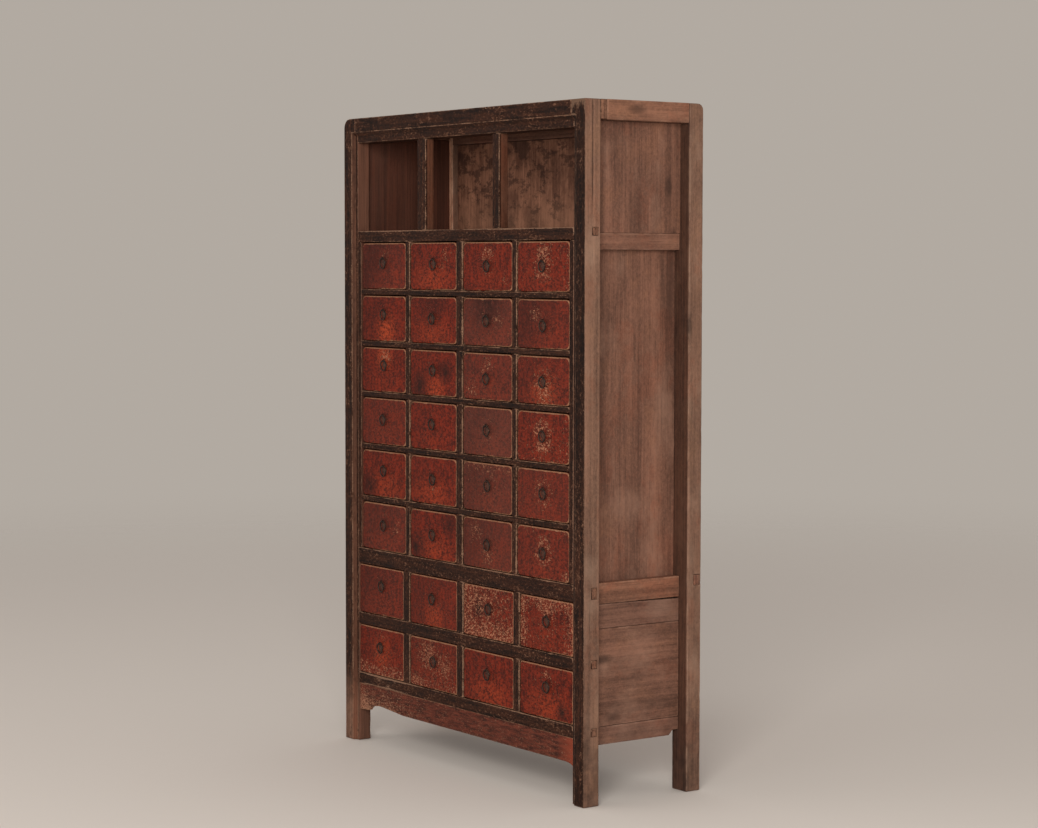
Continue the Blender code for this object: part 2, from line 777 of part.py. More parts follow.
def build():
    for thing in list(bpy.data.objects):
        bpy.data.objects.remove(thing)
    materials = make_materials()
    black = materials["black_lacquer"]
    red = materials["red_lacquer"]
    wood = materials["weathered_wood"]
    carcass = empty("carcass")
    moulding = moulding_cutter(carcass)
    mortises = mortise_cutter(carcass)

    front_post(LEFT, LEFT_CORNER_RADIUS, wood, carcass, (moulding, mortises))
    front_post(RIGHT, RIGHT_CORNER_RADIUS, wood, carcass, (moulding, mortises))
    front_top_rail(black, carcass, moulding)
    top_frame(materials, carcass)
    for side in (LEFT, RIGHT):
        back_post(side, wood, carcass, mortises)
        side_frame(side, materials, carcass)
    back(materials, carcass)

    rails = front_rail_heights()
    for name in ("shelf_rail", "mid_rail", "bottom_rail"):
        tenoned_rail(name, RAIL_Y, rails[name], front_tenon_y(), black, carcass)
    compartment_posts(black, carcass)
    apron(red, carcass)
    upper_rack(black, carcass)
    lower_rack(black, carcass)

    drawers(red, empty("drawers"))


build()
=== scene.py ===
"""Looks of an old lacquered apothecary cabinet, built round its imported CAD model.

Worn boards stand for the plain CAD ones, and each drawer gets a separate front, box, pull
plate and ring. Metres, +Z up. The drawers face -Y, and +X is on the right of someone who
faces them.
"""

import math

import bmesh
import bpy
import numpy as np
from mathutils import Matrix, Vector, noise


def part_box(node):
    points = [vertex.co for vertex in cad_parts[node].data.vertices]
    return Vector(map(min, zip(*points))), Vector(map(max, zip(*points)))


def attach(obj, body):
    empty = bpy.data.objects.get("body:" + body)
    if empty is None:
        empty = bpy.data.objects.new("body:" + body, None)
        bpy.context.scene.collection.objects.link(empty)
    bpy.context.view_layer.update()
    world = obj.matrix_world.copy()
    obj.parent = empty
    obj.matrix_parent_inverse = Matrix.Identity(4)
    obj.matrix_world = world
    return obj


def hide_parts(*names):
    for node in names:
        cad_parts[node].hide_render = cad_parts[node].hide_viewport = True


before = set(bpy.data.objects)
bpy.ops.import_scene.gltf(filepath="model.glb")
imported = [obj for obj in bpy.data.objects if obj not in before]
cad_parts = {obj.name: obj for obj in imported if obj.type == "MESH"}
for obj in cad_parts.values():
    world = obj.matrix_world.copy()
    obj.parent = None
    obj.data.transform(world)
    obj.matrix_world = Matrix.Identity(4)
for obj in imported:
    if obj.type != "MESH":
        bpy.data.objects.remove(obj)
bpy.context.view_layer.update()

# ---- Sizes that the CAD frame is cut to ----
FRONT_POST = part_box("post_front_right")
HALF_WIDTH = FRONT_POST[1].x
POST_INNER = FRONT_POST[0].x
FRONT = FRONT_POST[0].y
HEIGHT = FRONT_POST[1].z
GAP = 0.0003
TENON_SHARE = 0.64  # of a rail's height
TENON_RISE = 0.005  # above the middle of the rail
TENON_DEPTH = 0.018
FRONT_TENON_Y = (FRONT + 0.026, FRONT + 0.044)
RACK_BACK = 0.350  # from the front plane
RACK_BOARD = 0.018
FRONT_RAIL_DEPTH = 0.040
FRONT_RAIL_SETBACK = 0.010
LOWER_BOARD_SEAMS = (0.2075, 0.475)
BACK_RAIL_Z = (0.563, 0.607)
BACK_PANEL_THICKNESS = 0.015
BOARD_JOINT = 0.00015  # between boards set edge to edge
BACK_BOARDS = 5
TOP_BOARDS = 3

DRAWER_LENGTH = 0.325
DRAWER_FRONT = 0.014
DRAWER_SIDE = 0.008
DRAWER_BOTTOM = 0.006
DRAWER_SIDE_DROP = 0.008
DRAWER_UNDER = 0.0015
DRAWER_CLEARANCE = 0.0013
DRAWER_HEADROOM = 0.0042
RING_HALF_WIDTH = 0.0138
RING_HALF_HEIGHT = 0.0150
RING_BAR_RADIUS = 0.0019
RING_STAND_OFF = 0.0064
RING_LEAN = 0.0022  # the foot of the ring hangs this much nearer the plate
PLATE_HALF_WIDTH = 0.0135
PLATE_HALF_HEIGHT = 0.0165
PLATE_DROP = 0.0125  # middle of the plate below the staple
PLATE_THICKNESS = 0.0014
STAPLE_EYE = 0.0030
STAPLE_WIRE = 0.0008
STAPLE_ROOT = 0.001  # depth of its ends in the front board
STAPLE_TIP = 0.0090  # geometry this far in front of a drawer belongs to its staple

SIDES = ("left", "right")
ROWS = 8
COLUMNS = 4
UPPER_ROW_COUNT = 6

# ---- Wear ----
WEAR_REACH = 0.0055  # how far lacquer is rubbed away in from an arris
MUNTIN_WEAR_REACH = 0.0075
SHELTERED = 0.55  # wear on arrises that face down or left, against 1 on the others
STATION = 0.014  # spacing of the cross-sections along a board
WANDER_RATE = 34  # how fast an arris's roundness wanders along a board
NICK_RATE = 85  # how fast nicks come and go
NICK_LEVEL = 0.36  # a nick is where the noise is above this
NICK_SIZE = 5
SHARP_EDGE = 0.3  # angle from which an edge of a CAD piece is an arris
TOP_RUB = 0.050  # the right post's front is bare this far down from its top
CRACK_FROM_FRONT = 0.026  # the crack in that post's outer face
CRACK_LOW = 1.60
CRACK_DEPTH = 0.0035
CRACK_HALF_WIDTH = 0.0009
CRACK_WANDER = 0.0016
CRACK_TAPER = 0.08  # it opens over this height
RAIL_NICKS = ((-0.215, 0.0035), (0.150, 0.0050))  # X and depth, in the top rail's upper edge
NICK_FLOOR = 0.002  # half widths of those nicks, at the bottom and at the rim
NICK_RIM = 0.006
BOARD_SHRINKAGE = 0.0065  # of the top one of the lower side boards, growing to the back
BOARD_NOTCH = 0.014  # at the back end of the bottom one
APRON_RUB = 0.42  # how far in from the apron's left end it is rubbed
BRACKETS = (0.05, 0.07)  # how far in from its left and right ends it is orange
FRONT_CORNER = {"upper": 0.016, "lower": 0.009}  # radius, by kind of row


# ---- Node trees ----
class Tree:
    """One material's node tree, with short ways to add nodes to it."""

    def __init__(self, name):
        self.material = bpy.data.materials.new(name)
        self.material.use_nodes = True
        self.nodes = self.material.node_tree.nodes
        self.links = self.material.node_tree.links
        self.shader = self.nodes["Principled BSDF"]
        self.grain = self.add("Attribute", {}, "Vector", attribute_name="grain")

    def plug(self, socket, value):
        """Link an output to an input, or set the input's value."""
        if isinstance(value, bpy.types.NodeSocket):
            self.links.new(value, socket)
        elif socket.type == "RGBA":
            socket.default_value = (*value, 1.0)
        else:
            socket.default_value = value

    def add(self, kind, inputs, output=0, **settings):
        """Add a node, with values or outputs of other nodes as its inputs."""
        node = self.nodes.new(f"ShaderNode{kind}")
        for label, value in settings.items():
            setattr(node, label, value)
        for label, value in inputs.items():
            self.plug(node.inputs[label], value)
        return node.outputs[output]

    def mask(self, name):
        """A number that is painted on the mesh."""
        return self.add("Attribute", {}, "Fac", attribute_name=name)

    def maths(self, operation, a, b=0.0):
        return self.add("Math", {0: a, 1: b}, operation=operation)

    def times(self, a, b):
        return self.maths("MULTIPLY", a, b)

    def plus(self, a, b):
        return self.maths("ADD", a, b)

    def total(self, parts):
        """The weighted sum of some values, given as (value, weight)."""
        value, weight = parts[0]
        result = self.times(value, weight)
        for value, weight in parts[1:]:
            result = self.plus(result, self.times(value, weight))
        return result

    def stretch(self, vector, scale):
        """The vector with each of its parts multiplied."""
        return self.add("VectorMath", {0: vector, 1: scale}, operation="MULTIPLY")

    def noise(self, vector, scale=1.0, detail=4.0, roughness=0.55, distortion=0.0):
        inputs = {"Vector": vector, "Scale": scale, "Detail": detail}
        inputs.update({"Roughness": roughness, "Distortion": distortion})
        return self.add("TexNoise", inputs, "Fac")

    def drawn_out(self, vector, scale, detail=4.0, roughness=0.55, distortion=0.0):
        """Noise with a scale for each direction: a small one gives long features."""
        return self.noise(self.stretch(vector, scale), 1.0, detail, roughness, distortion)

    def fibrous(self, scale, detail=4.0, roughness=0.55, distortion=0.0):
        """Noise in the board's own wood, where the last direction runs with the grain."""
        return self.drawn_out(self.grain, scale, detail, roughness, distortion)

    def cells(self, vector, scale):
        """Distance to the nearest of a scatter of points."""
        return self.add("TexVoronoi", {"Vector": vector, "Scale": scale}, "Distance")

    def bands(self, vector, scale, distortion):
        return self.add("TexWave", {"Vector": vector, "Scale": scale, "Distortion": distortion}, "Fac")

    def step(self, value, low, high, to=(0.0, 1.0)):
        """A smooth step from to[0] to to[1] as value goes from low to high."""
        inputs = {"Value": value, "From Min": low, "From Max": high, "To Min": to[0], "To Max": to[1]}
        return self.add("MapRange", inputs, interpolation_type="SMOOTHSTEP")

    def mix(self, share, a, b):
        """A colour between a and b."""
        return self.add("Mix", {"Factor": share, 6: a, 7: b}, 2, data_type="RGBA")

    def ramp(self, value, low, high, dark, light):
        """A colour that goes from dark to light as value goes from low to high."""
        return self.mix(self.step(value, low, high), dark, light)

    def shade(self, colour, by):
        """A colour multiplied by a number."""
        return self.add("VectorMath", {0: colour, "Scale": by}, operation="SCALE")

    def place(self, axis=None):
        """Where a point lies on the cabinet, or one of its X, Y and Z."""
        place = self.add("TexCoord", {}, "Object")
        return self.add("SeparateXYZ", {0: place}, axis) if axis else place

    def facing(self, axis):
        """How far a face points along X, Y or Z."""
        return self.add("SeparateXYZ", {0: self.add("NewGeometry", {}, "True Normal")}, axis)

    def finish(self, colour, roughness, height, depth, shine=0.3, metal=0.0):
        """Plug the shader; height is the relief's share of depth."""
        normal = self.add("Bump", {"Height": height, "Distance": depth})
        inputs = {"Base Color": colour, "Roughness": roughness, "Normal": normal}
        inputs.update({"Specular IOR Level": shine, "Metallic": metal})
        for label, value in inputs.items():
            self.plug(self.shader.inputs[label], value)
        return self.material


# ---- Materials ----
def dimmed(colour, by):
    return tuple(part * by for part in colour)


def grain_pattern(tree, dark, light, pale):
    """Old wood's colour and height: growth bands, fibres, mottling, pores, knots and bloom."""
    broad = tree.fibrous((14, 14, 1.6), 6, 0.62, distortion=0.6)
    bands = tree.bands(tree.stretch(tree.grain, (1, 0.45, 0.05)), 26.0, 5.0)
    fibres = tree.fibrous((520, 520, 11), 4, 0.65)
    streaks = tree.fibrous((95, 95, 1.7), 3, 0.6)
    blotch = tree.fibrous((7, 7, 4), 5, 0.6)
    knots = tree.cells(tree.stretch(tree.grain, (7, 7, 2.6)), 1.0)
    mottle = tree.fibrous((135, 135, 95), 4, 0.90)
    patches = tree.fibrous((10, 10, 8), 6, 0.70)

    tone = tree.total(((broad, 0.42), (bands, 0.10), (streaks, 0.34), (fibres, 0.22), (mottle, 0.50)))
    colour = tree.ramp(tone, 0.58, 1.00, dark, light)
    redder = tree.step(patches, 0.51, 0.62, (0.0, 0.5))
    colour = tree.mix(redder, colour, tree.stretch(colour, (1.0, 0.80, 0.72)))
    yellower = tree.step(patches, 0.47, 0.36, (0.0, 0.5))
    colour = tree.mix(yellower, colour, tree.stretch(colour, (1.14, 1.12, 1.02)))
    bloom = tree.step(blotch, 0.50, 0.74, (0.0, 0.5))
    colour = tree.mix(bloom, colour, pale)
    knot = tree.step(knots, 0.035, 0.12, (0.62, 0.0))
    colour = tree.mix(knot, colour, dimmed(dark, 0.35))
    pores = tree.step(fibres, 0.30, 0.40, (0.55, 0.0))
    colour = tree.mix(pores, colour, dimmed(dark, 0.45))
    return colour, tree.plus(tree.times(fibres, 0.6), streaks)


def place_soil(tree, colour, dirt, most=0.75):
    """Dark soil near the floor and in uneven patches, by position on the cabinet."""
    place = tree.place()
    low = tree.step(tree.place("Z"), 0.02, 0.42, (most, 0.0))
    patch = tree.step(tree.noise(place, 5.0, detail=6, roughness=0.65), 0.38, 0.66)
    share = tree.times(tree.plus(low, dirt), patch)
    return tree.mix(share, colour, tree.shade(colour, 0.48))


def inner_share(tree):
    """1 on faces that look in towards the middle of the cabinet, 0 on the others."""
    inward = tree.times(tree.facing("X"), tree.place("X"))
    return tree.step(inward, -0.20, -0.35)


def weathered_wood(name, dark, light, pale, dirt=0.35, painted_front_light=(1.0, 1.0, 1.0)):
    """Bare, dry old wood, paler where its arrises are rubbed; its front faces can be tinted with painted
    light and shade.
    """
    tree = Tree(name)
    colour, height = grain_pattern(tree, dark, light, pale)
    colour = place_soil(tree, colour, dirt)
    rubbed = tree.fibrous((60, 60, 25), 3)
    worn = tree.times(tree.mask("wear"), tree.step(rubbed, 0.38, 0.66))
    colour = tree.mix(tree.times(worn, 0.5), colour, pale)
    # Painted light and shade: faces that look to the front are tinted.
    in_front = tree.step(tree.facing("Y"), -0.6, -0.8)
    colour = tree.mix(in_front, colour, tree.stretch(colour, painted_front_light))
    roughness = tree.step(height, 0.5, 1.1, (0.88, 0.68))
    return tree.finish(colour, roughness, height, 0.0011)


BLACK = ((0.0055, 0.0020, 0.0012), (0.052, 0.0180, 0.0090))  # lacquer where darkest and lightest


def lacquer_coat(tree):
    """Aged black lacquer, streaked and flecked: its colour, height and blotches."""
    streaks = tree.fibrous((75, 75, 5), 6, 0.7)
    blotch = tree.fibrous((26, 26, 10), 6, 0.66)
    specks = tree.fibrous((150, 150, 95), 4, 0.88)
    tone = tree.total(((streaks, 0.35), (blotch, 0.20), (specks, 0.45)))
    colour = tree.ramp(tone, 0.40, 0.62, *BLACK)
    flecks = tree.step(tree.plus(specks, tree.times(blotch, 0.4)), 0.78, 0.88)
    colour = tree.mix(tree.times(flecks, 0.7), colour, (0.24, 0.125, 0.078))
    height = tree.plus(tree.times(specks, 0.5), streaks)
    return colour, height, blotch


def worn_arris(tree, colour, tan, keep=0.0):
    """Bare tan wood where lacquer has gone from the arrises; less of it where keep is higher."""
    uneven = tree.fibrous((70, 70, 28), 4, 0.7)
    chips = tree.noise(tree.grain, 300.0, detail=3, roughness=0.7)
    edge = tree.total(((tree.mask("wear"), 1.0), (uneven, 1.3), (chips, 0.8)))
    worn = tree.step(edge, 1.84 + keep, 2.16 + keep, (0.0, 0.88))
    patina = tree.ramp(chips, 0.3, 0.7, dimmed(tan, 0.55), tan)
    return tree.mix(worn, colour, patina), worn


def black_lacquer(name, wood_colours):
    """Black lacquer on a rail or muntin; behind its front, the ends and sides are bare wood."""
    tree = Tree(name)
    wood, wood_height = grain_pattern(tree, *wood_colours)
    colour, height, blotch = lacquer_coat(tree)
    colour, worn = worn_arris(tree, colour, (0.30, 0.17, 0.11))
    sideways = tree.maths("ABSOLUTE", tree.facing("X"))
    behind = tree.step(tree.place("Y"), FRONT + 0.014, FRONT + 0.020)
    bare = tree.times(tree.step(sideways, 0.80, 0.92), behind)
    colour = tree.mix(bare, colour, wood)
    height = tree.plus(height, tree.times(bare, wood_height))
    height = tree.maths("SUBTRACT", height, tree.times(worn, 0.8))
    roughness = tree.step(blotch, 0.3, 0.7, (0.46, 0.66))
    roughness = tree.plus(roughness, tree.times(worn, 0.22))
    return tree.finish(colour, roughness, height, 0.0010, shine=0.10)


def foot_loss(tree, ragged):
    """Where the lacquer is scuffed off the left foot."""
    low = tree.step(tree.place("Z"), 0.10, 0.24, (1.0, 0.0))
    left = tree.step(tree.place("X"), -0.50, -0.56)
    return tree.times(tree.times(low, left), tree.step(ragged, 0.22, 0.46))


def painted_shade_high_right(tree):
    """Painted shade: how much darker the right post's lacquer is drawn beside the upper drawers."""
    high = tree.step(tree.place("Z"), 0.50, 1.20)
    right = tree.step(tree.place("X"), 0.0, 0.5)
    return tree.step(tree.times(high, right), 0.0, 1.0, (1.0, 0.68))


def post_finish(name, dark, light, pale, inner=(0.14, 0.055, 0.032)):
    """Black lacquer in front, worn thinner on the bevel, whose paler wood also stands in for a painted
    sheen, with painted shade high on the right post; bare wood outside and stained wood inside.
    """
    tree = Tree(name)
    wood, wood_height = grain_pattern(tree, dark, light, pale)
    wood = place_soil(tree, wood, 0.25, 1.3)
    stained = tree.times(inner_share(tree), 0.86)
    stain = tree.ramp(wood_height, 0.6, 1.0, dimmed(inner, 0.5), inner)
    wood = tree.mix(stained, wood, stain)
    coat, coat_height, blotch = lacquer_coat(tree)
    coat = worn_arris(tree, coat, (0.27, 0.155, 0.10))[0]
    ragged = tree.fibrous((80, 80, 30), 4, 0.65)
    sideways = tree.maths("ABSOLUTE", tree.facing("X"))
    # On the bevel the paler wood shows worn lacquer and is also a painted sheen where the chamfer catches
    # the light.
    thin_coat_and_sheen = tree.step(ragged, 0.25, 0.60, (0.35, 0.95))
    bevel = tree.times(tree.step(sideways, 0.35, 0.60), thin_coat_and_sheen)
    # Painted shade on the right post's lacquer, darker higher up.
    coat = tree.shade(coat, painted_shade_high_right(tree))
    coat = tree.mix(bevel, coat, tree.shade(wood, 0.70))
    coat = tree.mix(foot_loss(tree, ragged), coat, tree.shade(wood, 1.1))
    edge = tree.maths("SUBTRACT", tree.facing("Y"), tree.times(ragged, 0.35))
    lacquered = tree.step(edge, -0.60, -0.75)
    colour = tree.mix(lacquered, wood, coat)
    height = tree.plus(wood_height, tree.times(lacquered, coat_height))
    roughness = tree.step(lacquered, 0.0, 1.0, (0.80, 0.56))
    roughness = tree.plus(roughness, tree.step(blotch, 0.3, 0.7, (-0.06, 0.08)))
    shine = tree.step(lacquered, 0.0, 1.0, (0.30, 0.10))
    return tree.finish(colour, roughness, height, 0.0009, shine)


def red_lacquer(name):
    """Drawer fronts. Painted masks on each front say where it is worn, orange or dark."""
    tree = Tree(name)
    streaks = tree.fibrous((130, 130, 18), 6, 0.72)
    blotch = tree.fibrous((46, 46, 30), 6, 0.76)
    specks = tree.fibrous((105, 105, 140), 3, 0.85)
    chips = tree.fibrous((125, 125, 190), 4, 0.90)
    islands = tree.fibrous((110, 110, 80), 4, 0.65)

    tone = tree.total(((streaks, 0.22), (blotch, 0.33), (specks, 0.45)))
    colour = tree.ramp(tone, 0.42, 0.60, (0.048, 0.0060, 0.0034), (0.205, 0.0215, 0.0088))
    browned = tree.mix(specks, (0.040, 0.018, 0.013), (0.150, 0.048, 0.033))
    colour = tree.mix(tree.mask("dull"), colour, browned)
    ember = tree.times(tree.mask("ember"), tree.step(specks, 0.36, 0.62))
    colour = tree.mix(ember, colour, (0.37, 0.055, 0.018))
    soot = tree.times(tree.mask("soot"), tree.step(blotch, 0.28, 0.58))
    colour = tree.mix(soot, colour, (0.022, 0.0085, 0.0065))
    pitted = tree.step(blotch, 0.60, 0.38, (0.15, 0.80))
    pits = tree.times(tree.step(specks, 0.34, 0.43, (1.0, 0.0)), pitted)
    colour = tree.mix(pits, colour, (0.030, 0.0080, 0.0055))

    patchy = tree.times(tree.mask("rubbed"), tree.step(islands, 0.34, 0.62, (0.45, 1.25)))
    patchy = tree.maths("MINIMUM", patchy, 1.3)
    scratched = tree.plus(chips, tree.times(patchy, 0.115))
    bare = tree.step(scratched, 0.625, 0.685)
    colour = tree.mix(tree.times(bare, 0.82), colour, (0.42, 0.180, 0.105))
    colour, worn = worn_arris(tree, colour, (0.38, 0.185, 0.105), keep=-0.08)
    loss = tree.maths("MAXIMUM", bare, worn)
    roughness = tree.step(blotch, 0.3, 0.7, (0.44, 0.64))
    roughness = tree.plus(roughness, tree.times(loss, 0.25))
    height = tree.plus(tree.times(specks, 0.4), streaks)
    height = tree.maths("SUBTRACT", height, tree.times(loss, 0.9))
    return tree.finish(colour, roughness, height, 0.0009, shine=0.09)


def apron_finish(name):
    """Thin, dull red-brown lacquer, speckled through to the wood."""
    tree = Tree(name)
    streaks = tree.fibrous((110, 110, 22), 6, 0.75)
    blotch = tree.noise(tree.grain, 22.0, detail=5, roughness=0.65)
    chips = tree.fibrous((190, 190, 130), 4, 0.90)
    colour = tree.ramp(streaks, 0.36, 0.64, (0.036, 0.0105, 0.0070), (0.135, 0.033, 0.019))
    colour = tree.mix(tree.mask("ember"), colour, (0.24, 0.046, 0.022))
    rubbed = tree.times(tree.mask("rubbed"), 0.13)
    scratched = tree.plus(chips, tree.times(blotch, 0.12))
    bare = tree.step(tree.plus(scratched, rubbed), 0.645, 0.705)
    colour = tree.mix(tree.times(bare, 0.70), colour, (0.40, 0.200, 0.120))
    colour, worn = worn_arris(tree, colour, (0.32, 0.165, 0.10), keep=-0.05)
    height = tree.maths("SUBTRACT", streaks, tree.maths("MAXIMUM", bare, worn))
    return tree.finish(colour, 0.74, height, 0.0007, shine=0.15)


def back_board_wood(name):
    """The compartment's back: brown boards with shapeless dark stains, and painted light that makes them
    tanner low down.
    """
    tree = Tree(name)
    place = tree.place()
    fibres = tree.fibrous((150, 150, 7), 5, 0.7)
    broad = tree.drawn_out(place, (12, 1, 7), 7, 0.72)
    tone = tree.total(((fibres, 0.34), (broad, 0.66)))
    colour = tree.ramp(tone, 0.38, 0.62, (0.115, 0.047, 0.028), (0.330, 0.150, 0.090))
    board = tree.fibrous((1.3, 1.3, 0.0), 0.0)
    colour = tree.shade(colour, tree.step(board, 0.35, 0.65, (0.84, 1.14)))
    cloud = tree.drawn_out(place, (17, 1, 26), 7, 0.80)
    high = tree.step(tree.place("Z"), 1.62, 1.82, (-0.03, 0.03))
    stain = tree.step(tree.plus(cloud, high), 0.49, 0.58, (0.0, 0.72))
    colour = tree.mix(stain, colour, (0.038, 0.015, 0.010))
    # Painted light: the boards are drawn tanner low down, where light falls in through the opening.
    low = tree.step(tree.place("Z"), 1.56, 1.68, (0.30, 0.0))
    colour = tree.mix(low, colour, (0.30, 0.150, 0.09))
    return tree.finish(colour, tree.step(fibres, 0.3, 0.7, (0.86, 0.70)), fibres, 0.0009)


def forged_iron(name):
    tree = Tree(name)
    place = tree.place()
    hammered = tree.noise(place, 420.0, detail=3, roughness=0.6)
    rust = tree.noise(place, 160.0, detail=4, roughness=0.7)
    colour = tree.ramp(rust, 0.48, 0.66, (0.030, 0.023, 0.020), (0.080, 0.038, 0.023))
    return tree.finish(colour, tree.step(hammered, 0.3, 0.7, (0.34, 0.58)), hammered, 0.0006, metal=0.7)


def rusty_plate(name):
    """Thin sheet iron gone red-brown with rust."""
    tree = Tree(name)
    place = tree.place()
    rust = tree.noise(place, 300.0, detail=4, roughness=0.7)
    colour = tree.ramp(rust, 0.38, 0.62, (0.034, 0.012, 0.008), (0.105, 0.038, 0.022))
    return tree.finish(colour, tree.step(rust, 0.3, 0.7, (0.50, 0.75)), rust, 0.0007, metal=0.15)


def pale_floor(name):
    """A plain pale floor that fades out into the background."""
    tree = Tree(name)
    place = tree.place()
    tree.finish((0.74, 0.70, 0.66), 0.85, tree.noise(place, 60.0), 0.0004)
    away = tree.add("VectorMath", {0: place}, "Value", operation="LENGTH")
    inputs = {0: tree.step(away, 3.0, 9.0), 1: tree.shader.outputs[0], 2: tree.add("BsdfTransparent", {})}
    tree.plug(tree.nodes["Material Output"].inputs["Surface"], tree.add("MixShader", inputs))
    return tree.material


PAINTED_LIGHT_TINT = (2.9, 2.75, 2.65)  # tints of the back posts' front faces; this one is painted light, making the left post's front look lit
# Painted shade: the right back post's front face drawn darker and redder, as if in shadow.
PAINTED_SHADE_TINT = (0.40, 0.31, 0.27)


def tinted(colours, red, green, blue):
    return tuple((r * red, g * green, b * blue) for r, g, b in colours)


def make_finishes():
    """Each finish's material, with the record's slot that it belongs to."""
    brown = ((0.085, 0.044, 0.029), (0.245, 0.128, 0.083), (0.330, 0.209, 0.147))
    panel = tinted(brown, 1.03, 0.91, 0.90)
    dim_brown = ((0.035, 0.014, 0.009), (0.110, 0.045, 0.026), (0.150, 0.075, 0.048))
    clean = ((0.150, 0.080, 0.045), (0.330, 0.195, 0.120), (0.400, 0.270, 0.185))
    slots = {
        "weathered_wood": {
            "post": post_finish("post_finish", *brown),
            "side_board": post_finish("side_board_finish", *panel, inner=(0.076, 0.0195, 0.0090)),
            "back_post_left": weathered_wood("back_post_left_wood", *brown, dirt=0.1, painted_front_light=PAINTED_LIGHT_TINT),
            "back_post_right": weathered_wood("back_post_right_wood", *brown, painted_front_light=PAINTED_SHADE_TINT),
            "wood": weathered_wood("weathered_wood", *panel),
            "top_wood": weathered_wood("top_side_wood", *tinted(brown, 1.12, 0.98, 0.92), dirt=0.25),
            "rail_wood": weathered_wood("side_rail_wood", *tinted(brown, 1.18, 1.0, 0.92), dirt=0.15),
            "dark_board": weathered_wood("dark_board_wood", *tinted(brown, 0.86, 0.78, 0.80), dirt=0.3),
        },
        "interior_wood": {
            "inner_wood": weathered_wood("inner_side_wood", *dim_brown),
            "back_wood": back_board_wood("back_wood"),
        },
        "black_lacquer": {
            "black": black_lacquer("black_lacquer", tinted(brown, 1.02, 0.95, 0.92)),
            "short_post": black_lacquer("short_post_lacquer", tinted(brown, 0.55, 0.42, 0.38)),
        },
        "red_lacquer": {
            "red": red_lacquer("red_lacquer"),
            "apron": apron_finish("apron_lacquer"),
            "box_wood": weathered_wood("drawer_box_wood", *clean, dirt=0.3),
        },
        "iron": {"iron": forged_iron("forged_iron"), "plate": rusty_plate("rusty_plate")},
    }
    return {name: (material, slot) for slot, group in slots.items() for name, material in group.items()}


FINISHES = make_finishes()


# ---- Mesh tools ----
def new_bmesh():
    """An empty bmesh with the layers that the materials read."""
    bm = bmesh.new()
    bm.verts.layers.float.new("wear")
    bm.verts.layers.float_vector.new("grain")
    return bm


def grain_point(place, along, seed):
    """Where a point lies in its board's own wood: the last part runs with the grain."""
    across = [place[axis] for axis in range(3) if axis != along]
    return Vector((across[0] + seed * 3.1, across[1] + seed * 1.7, place[along] + seed * 0.9))


def set_layers(bm, vert, wear, along, seed):
    vert[bm.verts.layers.float["wear"]] = wear
    vert[bm.verts.layers.float_vector["grain"]] = grain_point(vert.co, along, seed)


def add_object(name, data):
    thing = bpy.data.objects.new(name, data)
    bpy.context.scene.collection.objects.link(thing)
    return thing


def add_piece(name, bm, finish, body="carcass", replaced=None, sharp=32):
    """Turn a bmesh into a piece that rides on a CAD body."""
    material, slot = FINISHES[finish]
    bmesh.ops.recalc_face_normals(bm, faces=bm.faces)
    mesh = bpy.data.meshes.new(name)
    bm.to_mesh(mesh)
    bm.free()
    mesh.materials.append(material)
    mesh.shade_smooth()
    mesh.set_sharp_from_angle(angle=math.radians(sharp))
    thing = add_object(name, mesh)
    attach(thing, body)
    if replaced:
        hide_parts(replaced)


def roll(*parts):
    """Smooth noise between -1 and 1 at a place given by up to three numbers."""
    return noise.noise(Vector((*parts, 0.0, 0.0)[:3]))


def arris_radius(t, corner, wear, seed):
    """How round an arris is at a distance t along its board: uneven, with a few nicks."""
    wander = 0.8 + 0.5 * roll(t * WANDER_RATE, corner * 9.3, seed * 1.7)
    nick = max(0.0, roll(t * NICK_RATE, corner * 5.1 + 20, seed) - NICK_LEVEL) * NICK_SIZE
    return wear * (wander + nick)


CORNERS = ((1, 1), (-1, 1), (-1, -1), (1, -1))  # of a cross-section, in turn


def loft(bm, rings, closed=False):
    """Faces between rings of points, with both ends filled or, if closed, joined up."""
    last = rings[:1] if closed else []
    for ring, other in zip(rings, rings[1:] + last):
        for step in range(len(ring)):
            after = (step + 1) % len(ring)
            bm.faces.new((ring[step], ring[after], other[after], other[step]))
    if not closed:
        bm.faces.new(rings[0])
        bm.faces.new(rings[-1])


def exposure(axes, sides):
    """How much an arris gets rubbed: arrises that face up or right get more."""
    favour = 1.0
    for axis, side in zip(axes, sides):
        if axis in (0, 2) and side < 0:
            favour = SHELTERED
    return favour


